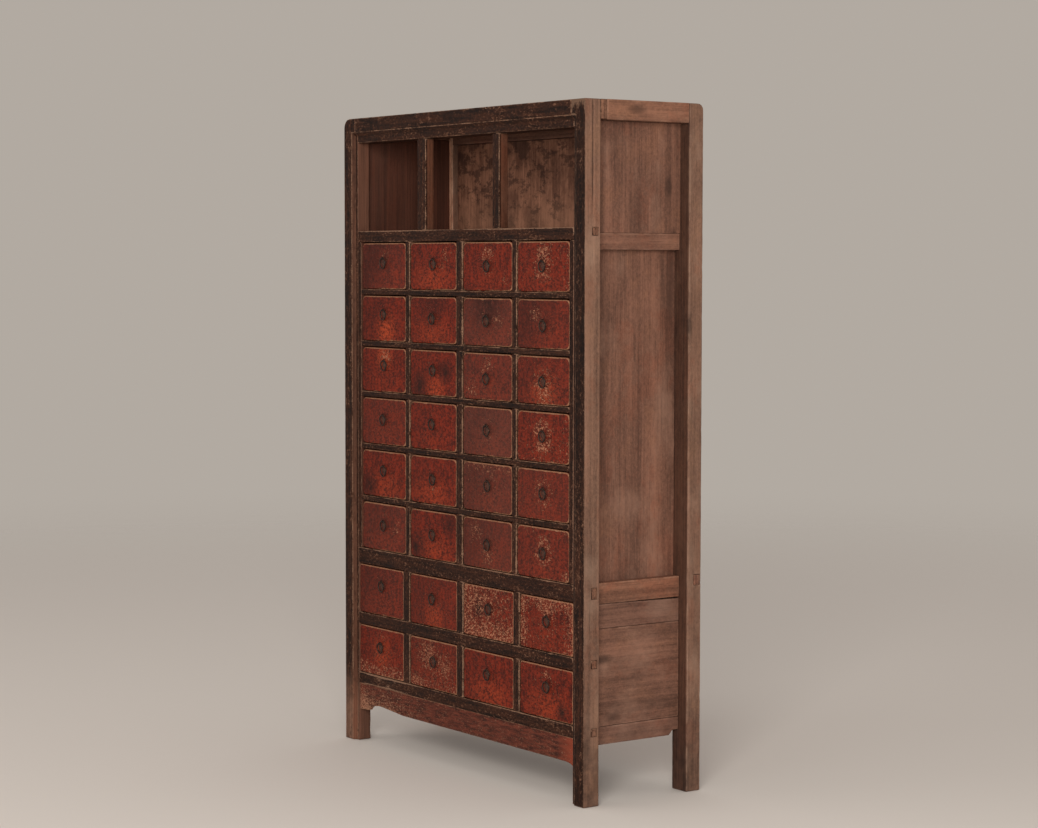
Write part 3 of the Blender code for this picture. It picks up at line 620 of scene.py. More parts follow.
def worn_board(bm, low, high, wear=0.0014, seed=0.0, along=None, wear_reach=WEAR_REACH, rub=1.0):
    """Add a board whose arrises are worn unevenly along its length."""
    low, high = Vector(low), Vector(high)
    size, middle = high - low, (low + high) / 2
    if along is None:
        along = max(range(3), key=lambda axis: size[axis])
    across, over = [axis for axis in range(3) if axis != along]
    half = (size[across] / 2, size[over] / 2)
    reach = [min(wear_reach, side * 0.72) for side in half]
    most = min(half) * 0.45
    length = size[along]
    end = min(wear, length * 0.1)
    support = min(WEAR_REACH, length * 0.3)

    def section(t, inset, wears):
        """A ring of points round the board at t; wears is (flat faces, arrises)."""
        ring = []
        for corner, (u_side, v_side) in enumerate(CORNERS):
            radius = min(arris_radius(t, corner, wear, seed), most)
            favour = rub * exposure((across, over), (u_side, v_side))
            arc = [
                (half[0], half[1] - reach[1], 0),
                (half[0], half[1] - radius, 1),
                (half[0] - 0.3 * radius, half[1] - 0.3 * radius, 1),
                (half[0] - radius, half[1], 1),
                (half[0] - reach[0], half[1], 0),
            ]
            if u_side * v_side < 0:
                arc.reverse()
            for u, v, on_arris in arc:
                place = middle.copy()
                place[across] += u_side * (u - inset)
                place[over] += v_side * (v - inset)
                place[along] += t
                vert = bm.verts.new(place)
                set_layers(bm, vert, wears[on_arris] * favour, along, seed)
                ring.append(vert)
        return ring

    count = max(2, round((length - 2 * support) / STATION))
    inner = [-length / 2 + support + (length - 2 * support) * k / count for k in range(count + 1)]
    cap_inset = min(min(half) * 0.5, WEAR_REACH)
    first, last = -length / 2, length / 2
    stations = [(first, cap_inset, (0, 0)), (first, end, (1, 1)), (first + end, 0, (1, 1))]
    stations += [(t, 0, (0, 1)) for t in inner]
    stations += [(last - end, 0, (1, 1)), (last, end, (1, 1)), (last, cap_inset, (0, 0))]
    loft(bm, [section(*station) for station in stations])


def board_piece(name, spans, finish, seed, wear=0.0014, replaced=None, along=None):
    """A piece of one or more worn boards, given as (low, high) corners."""
    bm = new_bmesh()
    for number, (low, high) in enumerate(spans):
        worn_board(bm, low, high, wear, seed + 0.37 * number, along)
    add_piece(name, bm, finish, replaced=replaced)


def board_for(node, name, finish, seed, along=None):
    """One worn board with the size of a CAD node, in its place."""
    board_piece(name, [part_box(node)], finish, seed, replaced=node, along=along)


def rub_between(bm, axis, start, end, amount):
    """Wear a stretch of a piece more, most in its middle."""
    layer = bm.verts.layers.float["wear"]
    for vert in bm.verts:
        share = (vert.co[axis] - start) / (end - start)
        if 0 < share < 1:
            vert[layer] += amount * math.sin(math.pi * share)


def whole_faces(node):
    """A bmesh of a CAD node with its triangles joined into whole flat faces."""
    bm = bmesh.new()
    bm.from_mesh(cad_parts[node].data)
    bm.verts.layers.float.new("wear")
    bm.verts.layers.float_vector.new("grain")
    bmesh.ops.remove_doubles(bm, verts=bm.verts, dist=0.00005)
    bmesh.ops.dissolve_limit(bm, angle_limit=0.03, verts=bm.verts, edges=bm.edges)
    return bm


def slice_at(bm, axis, values):
    normal = Vector((0, 0, 0))
    normal[axis] = 1
    for value in values:
        geometry = bm.verts[:] + bm.edges[:] + bm.faces[:]
        bmesh.ops.bisect_plane(bm, geom=geometry, dist=0.00001, plane_co=normal * value, plane_no=normal)


def distance_to_segments(points, starts, ends):
    """For each point, its distance to the nearest of some straight edges."""
    best = np.full(len(points), 1e9)
    for start, end in zip(starts, ends):
        run = end - start
        share = np.clip(((points - start) @ run) / max(run @ run, 1e-12), 0, 1)
        near = start + share[:, None] * run
        best = np.minimum(best, np.linalg.norm(points - near, axis=1))
    return best


def worn_copy(node, along, wear, seed, extra_slices=()):
    """A CAD node's shape with its outer arrises worn unevenly."""
    bm = whole_faces(node)
    sharp = [
        edge
        for edge in bm.edges
        if len(edge.link_faces) == 2 and edge.is_convex and edge.calc_face_angle() > SHARP_EDGE
    ]
    starts = np.array([edge.verts[0].co for edge in sharp])
    ends = np.array([edge.verts[1].co for edge in sharp])
    bmesh.ops.bevel(bm, geom=sharp, offset=wear, segments=2, profile=0.5, affect="EDGES")
    low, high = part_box(node)
    for axis in range(3):
        marks = set()
        for value in np.unique(np.round(np.concatenate((starts[:, axis], ends[:, axis])), 4)):
            marks.update((value - WEAR_REACH, value + WEAR_REACH))
        if axis == along:
            count = round((high[axis] - low[axis]) / STATION)
            marks.update(np.linspace(low[axis], high[axis], count + 1)[1:-1])
        slice_at(bm, axis, sorted(m for m in marks if low[axis] < m < high[axis]))
    for axis, value in extra_slices:
        slice_at(bm, axis, (value,))
    bm.normal_update()
    points = np.array([vert.co for vert in bm.verts])
    distances = distance_to_segments(points, starts, ends)
    for vert, distance in zip(bm.verts, distances):
        nearby = min(1.0, max(0.0, 1 - (distance - wear) / WEAR_REACH))
        favour = SHELTERED if min(vert.normal.x, vert.normal.z) < -0.4 else 1.0
        set_layers(bm, vert, nearby * favour, along, seed)
        nearness = max(0.0, 1 - distance / (1.7 * wear))
        if nearness:
            depth = arris_radius(vert.co[along], round(vert.co[(along + 1) % 3], 1), wear, seed)
            vert.co -= vert.normal * (nearness * depth * 0.8)
    return bm


# ---- Carcass pieces ----
def crack_at(post_front_right):
    """Open a shrinkage crack in the upper part of the right post's outer face."""
    line = FRONT + CRACK_FROM_FRONT
    for vert in post_front_right.verts:
        on_face = abs(vert.co.x - HALF_WIDTH) < 0.0002
        aside = abs(vert.co.y - line)
        if on_face and aside < CRACK_HALF_WIDTH + 0.0003 and vert.co.z > CRACK_LOW:
            if aside < 0.0001:
                opening = min(1.0, (vert.co.z - CRACK_LOW) / CRACK_TAPER)
                vert.co.x -= CRACK_DEPTH * opening
            vert.co.y += CRACK_WANDER * roll(vert.co.z * 14, 3.0)


def posts():
    line = FRONT + CRACK_FROM_FRONT
    crack = [(1, line + shift) for shift in (-CRACK_HALF_WIDTH, 0.0, CRACK_HALF_WIDTH)]
    right = worn_copy("post_front_right", 2, 0.0014, 2.0, crack)
    crack_at(right)
    rub_between(right, 2, HEIGHT - TOP_RUB, HEIGHT + TOP_RUB, 1.1)
    add_piece("front_post_right", right, "post", replaced="post_front_right")
    left = worn_copy("post_front_left", 2, 0.0016, 1.0)
    add_piece("front_post_left", left, "post", replaced="post_front_left")
    for number, side in enumerate(SIDES):
        node = f"post_back_{side}"
        bm = worn_copy(node, 2, 0.0018, 3.0 + number)
        add_piece(f"back_post_{side}", bm, f"back_post_{side}", replaced=node)


def top_rail():
    """The front top rail, with two old nicks in its upper edge."""
    shifts = (-NICK_RIM, -NICK_FLOOR, NICK_FLOOR, NICK_RIM)
    cuts = [(0, x + shift) for x, _ in RAIL_NICKS for shift in shifts]
    bm = worn_copy("top_rail_front", 0, 0.0014, 5.0, cuts)
    for vert in bm.verts:
        on_edge = vert.co.z > HEIGHT - 0.002 and vert.co.y < FRONT + 0.003
        for x, depth in RAIL_NICKS:
            if on_edge and abs(vert.co.x - x) < (NICK_RIM + NICK_FLOOR) / 2:
                vert.co.z -= depth
    add_piece("front_top_rail", bm, "black", replaced="top_rail_front")


def tenons(rail_z, y):
    """Spans of the two tenons of a rail, out through the posts to their outer faces."""
    middle = sum(rail_z) / 2 + TENON_RISE
    half = (rail_z[1] - rail_z[0]) * TENON_SHARE / 2
    inner = POST_INNER - GAP
    ends = ((-HALF_WIDTH, -inner), (inner, HALF_WIDTH))
    return [((near, y[0], middle - half), (far, y[1], middle + half)) for near, far in ends]


def tenoned_rail(node, seed, scuffs):
    """A front rail with a tenon through each post; scuffs are (from X, to X, amount)."""
    low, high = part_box(node)
    inner = POST_INNER - GAP
    bm = new_bmesh()
    worn_board(bm, (-inner, low.y, low.z), (inner, high.y, high.z), 0.0015, seed, 0)
    for start, end, amount in scuffs:
        rub_between(bm, 0, start, end, amount)
    for number, (start, end) in enumerate(tenons((low.z, high.z), FRONT_TENON_Y)):
        worn_board(bm, start, end, 0.0010, seed + 0.4 + number, 0)
    add_piece(f"front_{node}", bm, "black", replaced=node)


def sides():
    for number, side in enumerate(SIDES):
        seed = 10.0 + number
        rails = {"top_rail": "top_wood", "side_rail_upper": "wood", "side_rail_middle": "rail_wood"}
        for label, wood in rails.items():
            board_for(f"{label}_{side}", f"{label}_board_{side}", wood, seed)
            seed += 2
        for label in ("upper", "middle"):
            board_for(f"side_panel_{label}_{side}", f"side_board_{label}_{side}", "side_board", seed, 2)
            seed += 2
        lower_boards(side, seed)


def lower_boards(side, seed):
    """Three boards under the middle side rail; the top one has shrunk away at the back."""
    node = f"side_panel_lower_{side}"
    low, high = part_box(node)
    heights = (low.z, *LOWER_BOARD_SEAMS, high.z)
    for number, (bottom, top) in enumerate(zip(heights, heights[1:])):
        bm = new_bmesh()
        start = (low.x, low.y, bottom + GAP * 2)
        worn_board(bm, start, (high.x, high.y, top - GAP * 2), 0.0016, seed + number, along=1)
        for vert in bm.verts:
            share = (vert.co.y - low.y) / (high.y - low.y)
            if number == 2 and vert.co.z > top - 0.02:
                shrunk = BOARD_SHRINKAGE * max(0.0, share - 0.35)
                vert.co.z -= shrunk + 0.0012 * abs(roll(vert.co.y * 40))
            if number == 0 and vert.co.z < bottom + 0.02 and share > 0.93:
                vert.co.z += BOARD_NOTCH
        wood = "wood" if number == 1 else "dark_board"
        replaced = node if number == 0 else None
        add_piece(f"side_board_lower{number + 1}_{side}", bm, wood, replaced=replaced)


def split_span(low, high, count):
    """The widths of count like boards set edge to edge between low and high."""
    width = (high - low + BOARD_JOINT) / count
    return [(low + width * k, low + width * (k + 1) - BOARD_JOINT) for k in range(count)]


def back_and_top():
    low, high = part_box("back_panel")
    inner = POST_INNER - GAP
    panel_back = low.y + BACK_PANEL_THICKNESS
    boards = split_span(-inner, inner, BACK_BOARDS)
    spans = [((a, low.y, low.z), (b, panel_back, high.z)) for a, b in boards]
    board_piece("back_boards", spans, "back_wood", 40.0, 0.0018, "back_panel", 2)
    post_low, post_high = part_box("post_back_right")
    post_middle = (post_low.y + post_high.y) / 2
    spans = [((-inner, panel_back, BACK_RAIL_Z[0]), (inner, high.y, BACK_RAIL_Z[1]))]
    spans += tenons(BACK_RAIL_Z, (post_middle, post_middle + TENON_DEPTH))
    board_piece("back_rail", spans, "wood", 43.0, along=0)
    board_for("top_rail_back", "back_top_rail", "wood", 45.0)
    low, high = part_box("top_panel")
    boards = split_span(low.y, high.y, TOP_BOARDS)
    spans = [((low.x, a, low.z), (high.x, b, high.z)) for a, b in boards]
    board_piece("top_boards", spans, "wood", 47.0, 0.0012, "top_panel", 0)


def apron():
    """The apron: rubbed at the left end, orange on both brackets."""
    bm = worn_copy("apron", 0, 0.0014, 50.0)
    rubbed = bm.verts.layers.float.new("rubbed")
    ember = bm.verts.layers.float.new("ember")
    low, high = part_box("apron")
    for vert in bm.verts:
        from_left = vert.co.x - low.x
        height = (vert.co.z - low.z) / (high.z - low.z)
        left_end = max(0.0, 1 - from_left / APRON_RUB)
        vert[rubbed] = 0.05 + left_end * (1.3 - height) + 0.3 * max(0.0, 0.6 - height)
        right_bracket = max(0.0, 1 - (high.x - vert.co.x) / BRACKETS[1])
        vert[ember] = 0.8 * right_bracket + 0.25 * max(0.0, 1 - from_left / BRACKETS[0])
    add_piece("apron_board", bm, "apron", replaced="apron")


def compartment_posts():
    for number, side in enumerate(SIDES):
        board_for(f"compartment_post_{side}", f"short_post_{side}", "short_post", 55.0 + number)


# ---- Drawer racks ----
def opening_of(row, column):
    """(low, high) of a drawer's opening in X and Z."""
    low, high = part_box(f"drawer_r{row}_c{column}")
    x = (low.x - DRAWER_CLEARANCE, high.x + DRAWER_CLEARANCE)
    return x, (low.z - DRAWER_UNDER, high.z + DRAWER_HEADROOM)


def rack(label, rows, sides_x, seed):
    """Rails between rows and muntins between drawers; gives the heights of the rack's ends."""
    node = f"drawer_rack_{label}"
    front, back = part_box(node)[0].y, FRONT + RACK_BACK
    spans_z = [opening_of(row, 1)[1] for row in rows]
    spans_x = [opening_of(rows[0], column)[0] for column in range(1, COLUMNS + 1)]
    for number, (above, below) in enumerate(zip(spans_z, spans_z[1:]), start=1):
        low, high = (sides_x[0], front, below[1]), (sides_x[1], back, above[0])
        replaced = node if number == 1 else None
        name = f"rack_rail_{label}_{number}"
        board_piece(name, [(low, high)], "black", seed + number, 0.0013, replaced, along=0)
    for row, (bottom, top) in zip(rows, spans_z):
        bm = new_bmesh()
        for column, (left, right) in enumerate(zip(spans_x, spans_x[1:])):
            low = (left[1], front + 0.0006, bottom + GAP)
            high = (right[0], back, top - GAP)
            worn_board(bm, low, high, 0.0016, seed + row + column * 0.31, 2, MUNTIN_WEAR_REACH, 1.05)
        add_piece(f"muntins_row_{row}", bm, "black")
    return spans_z[0][1], spans_z[-1][0]


def racks():
    inner = POST_INNER - GAP
    panel_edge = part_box("side_panel_middle_right")[0].x - GAP
    upper = range(1, UPPER_ROW_COUNT + 1)
    lower = range(UPPER_ROW_COUNT + 1, ROWS + 1)
    upper_top, upper_bottom = rack("upper", upper, (-panel_edge, panel_edge), 60.0)
    lower_bottom = rack("lower", lower, (-inner, inner), 70.0)[1]
    deep = (FRONT + FRONT_RAIL_SETBACK + FRONT_RAIL_DEPTH + GAP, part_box("back_panel")[0].y - GAP)
    board_spans = {
        "shelf_board": (upper_top, upper_top + RACK_BOARD),
        "upper_floor_board": (upper_bottom - RACK_BOARD, upper_bottom),
        "lower_floor_board": (lower_bottom - RACK_BOARD, lower_bottom),
    }
    for number, (name, (low, high)) in enumerate(board_spans.items()):
        span = ((-inner, deep[0], low), (inner, deep[1], high))
        board_piece(name, [span], "inner_wood", 80.0 + number, along=0)
    rail_z = (opening_of(lower[1], 1)[1][1], opening_of(lower[0], 1)[1][0])
    spans = tenons(rail_z, FRONT_TENON_Y)
    board_piece("lower_rail_tenons", spans, "black", 85.0, along=0)


# ---- Drawers ----
# How each front has aged. Numbers spread a sort of wear: speckle all over, scratches round
# the pull (halo), rubbing at an edge (low, top, left, right), orange low down (ember),
# darkening at the left (soot) and browning (dull). The lists hold spots, (X, Z, reach, amount),
# with X and Z in half sizes of the front and reach in half widths.
PLAIN_AGE = {
    "speckle": 0.0, "low": 0.0, "top": 0.0, "left": 0.0, "right": 0.0, "halo": 0.25, "dull": 0.10,
    "ember": 0.15, "soot": 0.12, "rubbed_at": (), "ember_at": (), "soot_at": (),
}
FRONT_AGE = {
    "r1_c1": dict(dull=0.3, soot=0.7, rubbed_at=[(0.1, 0.6, 0.25, 0.9)]),
    "r1_c2": dict(ember=0.6, rubbed_at=[(0.55, 0.5, 0.35, 1.1), (0.45, -0.1, 0.25, 0.8)]),
    "r1_c3": dict(halo=0.6, rubbed_at=[(0.0, 0.65, 0.35, 1.2), (0.7, -0.6, 0.35, 1.1)]),
    "r1_c4": dict(speckle=0.25, halo=0.8, right=0.8, rubbed_at=[(0.0, 0.7, 0.4, 1.0)]),
    "r2_c1": dict(soot=0.4, ember_at=[(0.1, -0.5, 0.55, 1.2)]),
    "r2_c2": dict(ember=0.5, soot_at=[(0.0, 0.9, 0.8, 0.7)]),
    "r2_c3": dict(
        dull=0.55, halo=0.3, right=0.5, soot_at=[(0.0, 0.9, 1.0, 1.0)], rubbed_at=[(0.45, 0.1, 0.3, 1.1)],
    ),
    "r2_c4": dict(dull=0.25, soot=0.6, halo=0.4, rubbed_at=[(-0.35, 0.45, 0.35, 1.3)]),
    "r3_c1": dict(ember_at=[(0.0, 0.6, 0.45, 1.5)], rubbed_at=[(0.05, 0.6, 0.35, 1.3)]),
    "r3_c2": dict(
        soot_at=[(0.5, 0.1, 0.35, 1.2), (-0.6, -0.6, 0.45, 1.1)], ember_at=[(0.1, -0.8, 0.5, 0.8)],
    ),
    "r3_c3": dict(dull=0.4, speckle=0.15, rubbed_at=[(0.0, 0.6, 0.35, 0.9), (-0.7, -0.6, 0.4, 0.9)]),
    "r3_c4": dict(
        speckle=0.1, dull=0.2, soot=0.3,
        rubbed_at=[(0.0, -0.45, 0.6, 1.4)],
        ember_at=[(0.0, -0.5, 0.7, 0.6)],
    ),
    "r4_c1": dict(dull=0.3),
    "r4_c3": dict(dull=0.7, soot=0.3, speckle=0.25),
    "r4_c4": dict(halo=1.1, speckle=0.3, right=0.5, low=0.5),
    "r5_c1": dict(ember=0.5, soot_at=[(-0.7, -0.6, 0.5, 1.0)]),
    "r5_c2": dict(ember=0.6, rubbed_at=[(0.0, -0.35, 0.15, 1.3)]),
    "r5_c3": dict(dull=0.6, soot=0.4, speckle=0.3, top=0.8),
    "r5_c4": dict(dull=0.3, halo=0.7, speckle=0.15, left=0.6),
    "r6_c1": dict(dull=0.4, soot=0.3, rubbed_at=[(0.6, 0.0, 0.35, 1.0)]),
    "r6_c2": dict(ember=0.55, soot_at=[(-0.7, -0.6, 0.5, 1.1), (0.7, 0.6, 0.45, 1.0)]),
    "r6_c3": dict(
        dull=0.5, soot=0.4, speckle=0.1, rubbed_at=[(-0.5, 0.5, 0.4, 1.1), (0.0, -0.5, 0.35, 1.2)],
    ),
    "r6_c4": dict(dull=0.25, halo=0.9, top=0.9, speckle=0.1, rubbed_at=[(0.85, -0.8, 0.2, 2.0)]),
    "r7_c1": dict(dull=0.3, soot=0.4, speckle=0.1),
    "r7_c2": dict(dull=0.2, soot=0.3, ember_at=[(0.0, -0.6, 0.5, 0.6)]),
    "r7_c3": dict(
        dull=0.15, low=2.4, left=2.0, speckle=0.8,
        rubbed_at=[(-0.5, 0.6, 0.5, 1.0)],
        soot_at=[(-0.4, 0.1, 0.3, 1.3)],
    ),
    "r7_c4": dict(top=1.1, left=1.6, right=1.2, speckle=0.45, rubbed_at=[(0.0, 0.7, 0.4, 0.9)]),
    "r8_c1": dict(low=2.1, speckle=0.2, ember_at=[(0.0, 0.0, 0.5, 0.9)]),
    "r8_c2": dict(
        dull=0.2, speckle=0.5, low=0.8,
        rubbed_at=[(-0.3, 0.4, 0.5, 1.2), (0.5, 0.0, 0.4, 1.2), (-0.7, -0.95, 0.3, 2.0)],
    ),
    "r8_c3": dict(ember=0.6),
    "r8_c4": dict(
        ember=0.55, speckle=0.2, rubbed_at=[(0.02, 0.65, 0.18, 1.4)], soot_at=[(0.6, -0.6, 0.3, 1.2)],
    ),
}
PULL_STAIN = 0.024  # radius of the dark stain round each pull
HALO_RADIUS = 0.030  # of the scratches that the ring leaves round its plate
HALO_WIDTH = 0.026
OUTLINE_STEP = 0.013  # between points along a front's sides
FRONT_WEAR = 0.0017  # how round a front's arrises are
BOX_WEAR = 0.0006  # and those of its box


def pull_place(node, front_y):
    """Middle of a drawer's staple, read from the CAD node."""
    verts = [v.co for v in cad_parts[node].data.vertices if v.co.y < front_y - STAPLE_TIP]
    x = [co.x for co in verts]
    z = [co.z for co in verts]
    return Vector(((min(x) + max(x)) / 2, front_y, (min(z) + max(z)) / 2))


def rounded_outline(half_x, half_z, radius):
    """Points round a rectangle with rounded corners, evenly spaced along its sides."""
    arcs = []
    for corner, (x_side, z_side) in enumerate(CORNERS):
        x, z = x_side * (half_x - radius), z_side * (half_z - radius)
        turns = [math.radians(90 * corner + 30 * step) for step in range(4)]
        arcs.append([(x + radius * math.cos(turn), z + radius * math.sin(turn)) for turn in turns])
    points = []
    for arc, after in zip(arcs, arcs[1:] + arcs[:1]):
        points += arc
        count = round(math.dist(arc[-1], after[0]) / OUTLINE_STEP)
        for step in range(1, count):
            share = step / count
            points.append(tuple(a + (b - a) * share for a, b in zip(arc[-1], after[0])))
    return points


def front_masks(place, pull, half, age, seed):
    """How rubbed, orange (ember), dark (soot) and dull a point on a drawer front is."""
    u = place.x / half[0]
    v = place.z / half[1]
    rubbed = age["speckle"]
    rubbed += age["low"] * max(0.0, -v - 0.25)
    rubbed += age["top"] * max(0.0, v - 0.45) * 1.4
    rubbed += age["right"] * max(0.0, u - 0.5) * 1.6
    rubbed += age["left"] * max(0.0, -u - 0.6) * 2.0
    reach = math.hypot(place.x - pull.x, place.z - pull.z + PLATE_DROP)
    rubbed += 1.3 * age["halo"] * max(0.0, 1 - abs(reach - HALO_RADIUS) / HALO_WIDTH)
    ember = age["ember"] * max(0.0, 1 - math.hypot(u * 0.9 - 0.15 * seed, v + 0.65))
    soot = age["soot"] * max(0.0, min(1.0, 0.5 - u * 0.9 + 0.3 * v))
    soot += 0.75 * max(0.0, 1 - reach / PULL_STAIN)
    masks = {"rubbed": rubbed, "ember": ember, "soot": soot}
    for mask in masks:
        for spot_u, spot_v, spot_reach, amount in age[f"{mask}_at"]:
            away = math.hypot(place.x - spot_u * half[0], place.z - spot_v * half[1])
            masks[mask] += amount * max(0.0, 1 - away / (spot_reach * half[0]))
    return masks["rubbed"], min(1.0, masks["ember"]), min(1.0, masks["soot"]), age["dull"]


def drawer_front(tag, middle, half, pull, corner, seed):
    """A front board with round corners, worn arrises and a slightly uneven face."""
    bm = new_bmesh()
    layers = [bm.verts.layers.float.new(label) for label in ("rubbed", "ember", "soot", "dull")]
    age = {**PLAIN_AGE, **FRONT_AGE.get(tag, {})}
    outline = rounded_outline(half[0], half[1], corner)
    spine = half[0] - half[1]

    def ring(inset, y, wear, worn_in=False):
        verts = []
        for number, (x, z) in enumerate(outline):
            heart = Vector((max(-spine, min(spine, x)), 0.0, 0.0))
            inward = (heart - Vector((x, 0.0, z))).normalized()
            exposed = 0.86 + 0.26 * max(x / half[0], z / half[1])
            rounding = arris_radius(number * OUTLINE_STEP, 0, FRONT_WEAR, seed) if worn_in else 0.0
            local = Vector((x, 0.0, z)) + inward * (inset + rounding)
            bow = 0.0003 * roll(local.x * 30, local.z * 30, seed) if inset > 0.004 else 0.0
            vert = bm.verts.new(middle + local + Vector((0.0, y + abs(bow), 0.0)))
            set_layers(bm, vert, wear * exposed, 2, seed)
            for layer, value in zip(layers, front_masks(local, pull, half, age, roll(seed))):
                vert[layer] = value
            verts.append(vert)
        return verts

    rings = [ring(0, DRAWER_FRONT - GAP, 0), ring(0, WEAR_REACH, 0), ring(0, FRONT_WEAR, 1)]
    rings += [ring(0.0001, 0.0004, 1, True), ring(0.0012, 0.0, 1, True)]
    deepest = half[1] * 0.94
    insets = [WEAR_REACH + (deepest - WEAR_REACH) * step / 9 for step in range(10)]
    rings += [ring(inset, 0.0, 0) for inset in insets]
    loft(bm, rings)
    add_piece(f"front_{tag}", bm, "red", f"drawer_{tag}", sharp=50)


def drawer_box(tag, low, high, seed):
    """Two sides, a back and a bottom."""
    front = low.y + DRAWER_FRONT
    top = high.z - DRAWER_SIDE_DROP
    floor = low.z + DRAWER_BOTTOM
    left, right = low.x + DRAWER_SIDE, high.x - DRAWER_SIDE
    boards = [
        ((low.x, front, floor + GAP), (left, high.y, top)),
        ((right, front, floor + GAP), (high.x, high.y, top)),
        ((left + GAP, high.y - DRAWER_SIDE, floor + GAP), (right - GAP, high.y, top)),
        ((low.x, front, low.z), (high.x, high.y, floor)),
    ]
    bm = new_bmesh()
    for number, (start, end) in enumerate(boards):
        worn_board(bm, start, end, BOX_WEAR, seed + number * 0.41)
    add_piece(f"box_{tag}", bm, "box_wood", f"drawer_{tag}", f"drawer_{tag}")


def wire_into(bm, spine, radius, closed, steps=8):
    """Round wire along points: an open one (staple) or a closed one (ring)."""
    rings = []
    count = len(spine)
    for number, place in enumerate(spine):
        before = spine[(number - 1) % count] if closed or number else place
        after = spine[(number + 1) % count] if closed or number < count - 1 else place
        along = (after - before).normalized()
        side = Vector((0, 1, 0)) if abs(along.y) < 0.5 and closed else Vector((1, 0, 0))
        other = along.cross(side).normalized()
        turns = [2 * math.pi * step / steps for step in range(steps)]
        round_it = [(side * math.cos(turn) + other * math.sin(turn)) * radius for turn in turns]
        rings.append([bm.verts.new(place + offset) for offset in round_it])
    loft(bm, rings, closed)


def pull_ring(tag, pull, seed):
    """A hand-bent oval ring that hangs from the staple."""
    bm = bmesh.new()
    spine = []
    steps = 28
    for step in range(steps):
        turn = 2 * math.pi * step / steps
        uneven = 1 + 0.025 * roll(math.cos(turn) * 1.5, math.sin(turn) * 1.5, seed)
        x = RING_HALF_WIDTH * math.cos(turn) * uneven
        y = RING_LEAN * (1 - math.sin(turn)) / 2 - RING_STAND_OFF
        z = RING_HALF_HEIGHT * (math.sin(turn) - 1)
        spine.append(pull + Vector((x, y, z)))
    wire_into(bm, spine, RING_BAR_RADIUS, True)
    add_piece(f"ring_{tag}", bm, "iron", f"drawer_{tag}", sharp=80)


def pull_plate(tag, pull):
    """A slightly domed lozenge plate."""
    bm = bmesh.new()
    rings = []
    for radius, lift in ((1.0, -PLATE_THICKNESS), (1.0, 0.0005), (0.62, 0.0010), (0.30, 0.0014)):
        ring = []
        for step in range(16):
            turn = math.pi / 8 * step
            across, up = math.cos(turn), math.sin(turn)
            reach = radius / (abs(across) / PLATE_HALF_WIDTH + abs(up) / PLATE_HALF_HEIGHT)
            offset = Vector((reach * across, -lift, reach * up - PLATE_DROP))
            ring.append(bm.verts.new(pull + offset))
        rings.append(ring)
    loft(bm, rings)
    add_piece(f"plate_{tag}", bm, "plate", f"drawer_{tag}", sharp=60)


def pull_staple(tag, pull):
    """The bent wire that carries the ring."""
    bm = bmesh.new()
    eye = STAPLE_EYE
    spine = [pull + Vector((0, STAPLE_ROOT, eye))]
    for step in range(9):
        turn = math.pi * step / 8
        reach = RING_STAND_OFF + eye * math.sin(turn) - 0.0004
        spine.append(pull + Vector((0, -reach, eye * math.cos(turn))))
    spine.append(pull + Vector((0, STAPLE_ROOT, -eye)))
    wire_into(bm, spine, STAPLE_WIRE, False, 6)
    add_piece(f"staple_{tag}", bm, "iron", f"drawer_{tag}", sharp=60)


def drawers():
    for row in range(1, ROWS + 1):
        corner = FRONT_CORNER["upper" if row <= UPPER_ROW_COUNT else "lower"]
        for column in range(1, COLUMNS + 1):
            tag = f"r{row}_c{column}"
            low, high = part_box(f"drawer_{tag}")
            low.y = high.y - DRAWER_LENGTH
            seed = row * 2.13 + column * 5.71
            pull = pull_place(f"drawer_{tag}", low.y)
            middle = Vector(((low.x + high.x) / 2, low.y, (low.z + high.z) / 2))
            half = ((high.x - low.x) / 2, (high.z - low.z) / 2)
            drawer_front(tag, middle, half, pull - middle, corner, seed)
            drawer_box(tag, low, high, seed)
            pull_plate(tag, pull)
            pull_staple(tag, pull)
            pull_ring(tag, pull, seed)


# ---- Stage ----
BACKDROP = (0.445, 0.402, 0.358, 1.0)  # as bright as the far floor


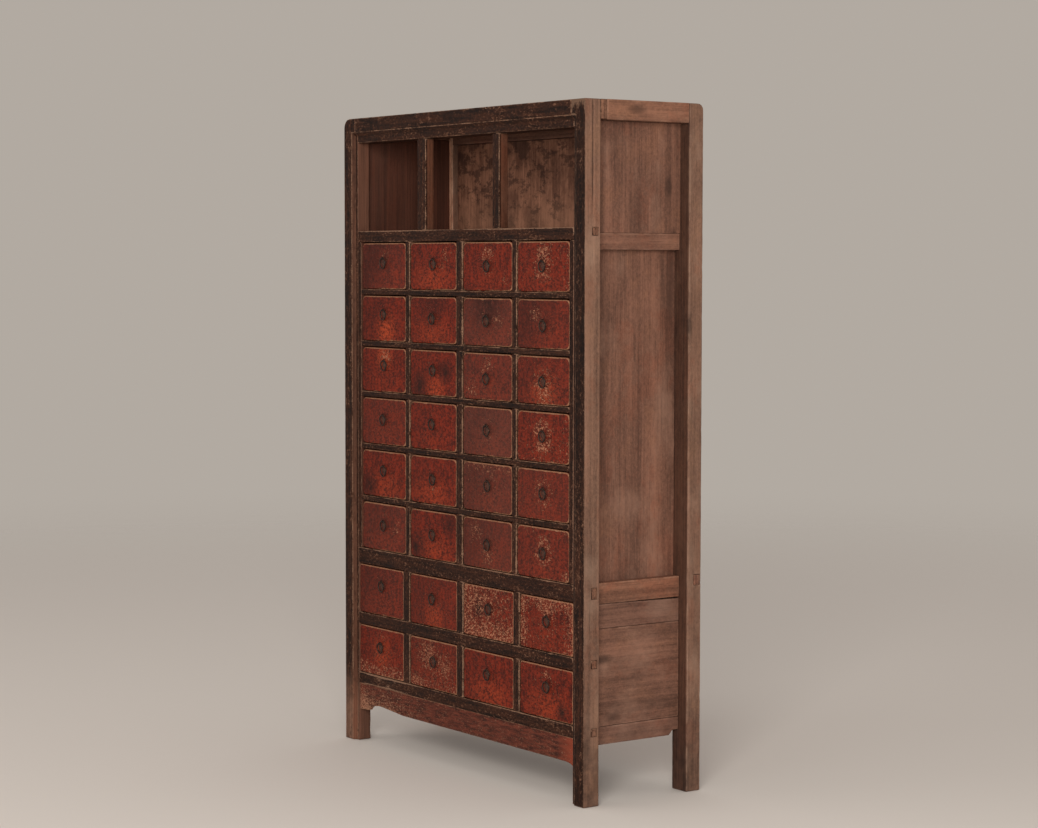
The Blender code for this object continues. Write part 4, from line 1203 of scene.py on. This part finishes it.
def add_stage():
    mesh = bpy.data.meshes.new("floor")
    reach = 12.0
    corners = [(-reach, -reach, 0), (reach, -reach, 0), (reach, reach, 0), (-reach, reach, 0)]
    mesh.from_pydata(corners, [], [(0, 1, 2, 3)])
    mesh.materials.append(pale_floor("pale_floor"))
    floor = add_object("floor", mesh)
    floor.location.z = -0.0005


def area_light(name, place, target, size, power, colour):
    data = bpy.data.lights.new(name, "AREA")
    data.size = size
    data.energy = power
    data.color = colour
    lamp = add_object(name, data)
    lamp.location = place
    lamp.rotation_euler = (Vector(target) - Vector(place)).to_track_quat("-Z", "Y").to_euler()


def add_light():
    world = bpy.data.worlds.new("studio")
    world.use_nodes = True
    background = world.node_tree.nodes["Background"]
    mix = world.node_tree.nodes.new("ShaderNodeMix")
    mix.data_type = "RGBA"
    mix.inputs[6].default_value = (0.495, 0.4575, 0.4275, 1.0)
    mix.inputs[7].default_value = BACKDROP
    path = world.node_tree.nodes.new("ShaderNodeLightPath")
    world.node_tree.links.new(path.outputs["Is Camera Ray"], mix.inputs["Factor"])
    world.node_tree.links.new(mix.outputs[2], background.inputs["Color"])
    bpy.context.scene.world = world
    middle = (0, 0, 1.0)
    area_light("key", (5.2, -4.4, 2.5), middle, 2.6, 340, (1.0, 0.95, 0.89))
    area_light("fill", (-2.2, -5.0, 2.6), middle, 3.5, 40, (1.0, 0.94, 0.88))


def add_camera():
    """Three-quarter view from the cabinet's right, a little above its middle."""
    data = bpy.data.cameras.new("camera")
    data.lens = 85.07
    data.sensor_width = 36.0
    camera = add_object("camera", data)
    camera.location = (5.8145, -4.131, 1.462)
    pitch, lean, heading = 90 - 3.505, -0.07, 54.493
    camera.rotation_euler = [math.radians(turn) for turn in (pitch, lean, heading)]
    bpy.context.scene.camera = camera
    bpy.context.scene.view_settings.view_transform = "Standard"


def build():
    posts()
    top_rail()
    tenoned_rail("shelf_rail", 30.0, ((-0.58, -0.05, 0.40), (0.00, 0.58, 0.35)))
    tenoned_rail("mid_rail", 31.0, ((-0.10, 0.35, 0.22), (-0.50, -0.20, 0.18)))
    tenoned_rail("bottom_rail", 32.0, ((-0.58, -0.22, 0.75), (0.05, 0.50, 0.20)))
    sides()
    back_and_top()
    apron()
    compartment_posts()
    racks()
    drawers()
    add_stage()
    add_light()
    add_camera()


build()
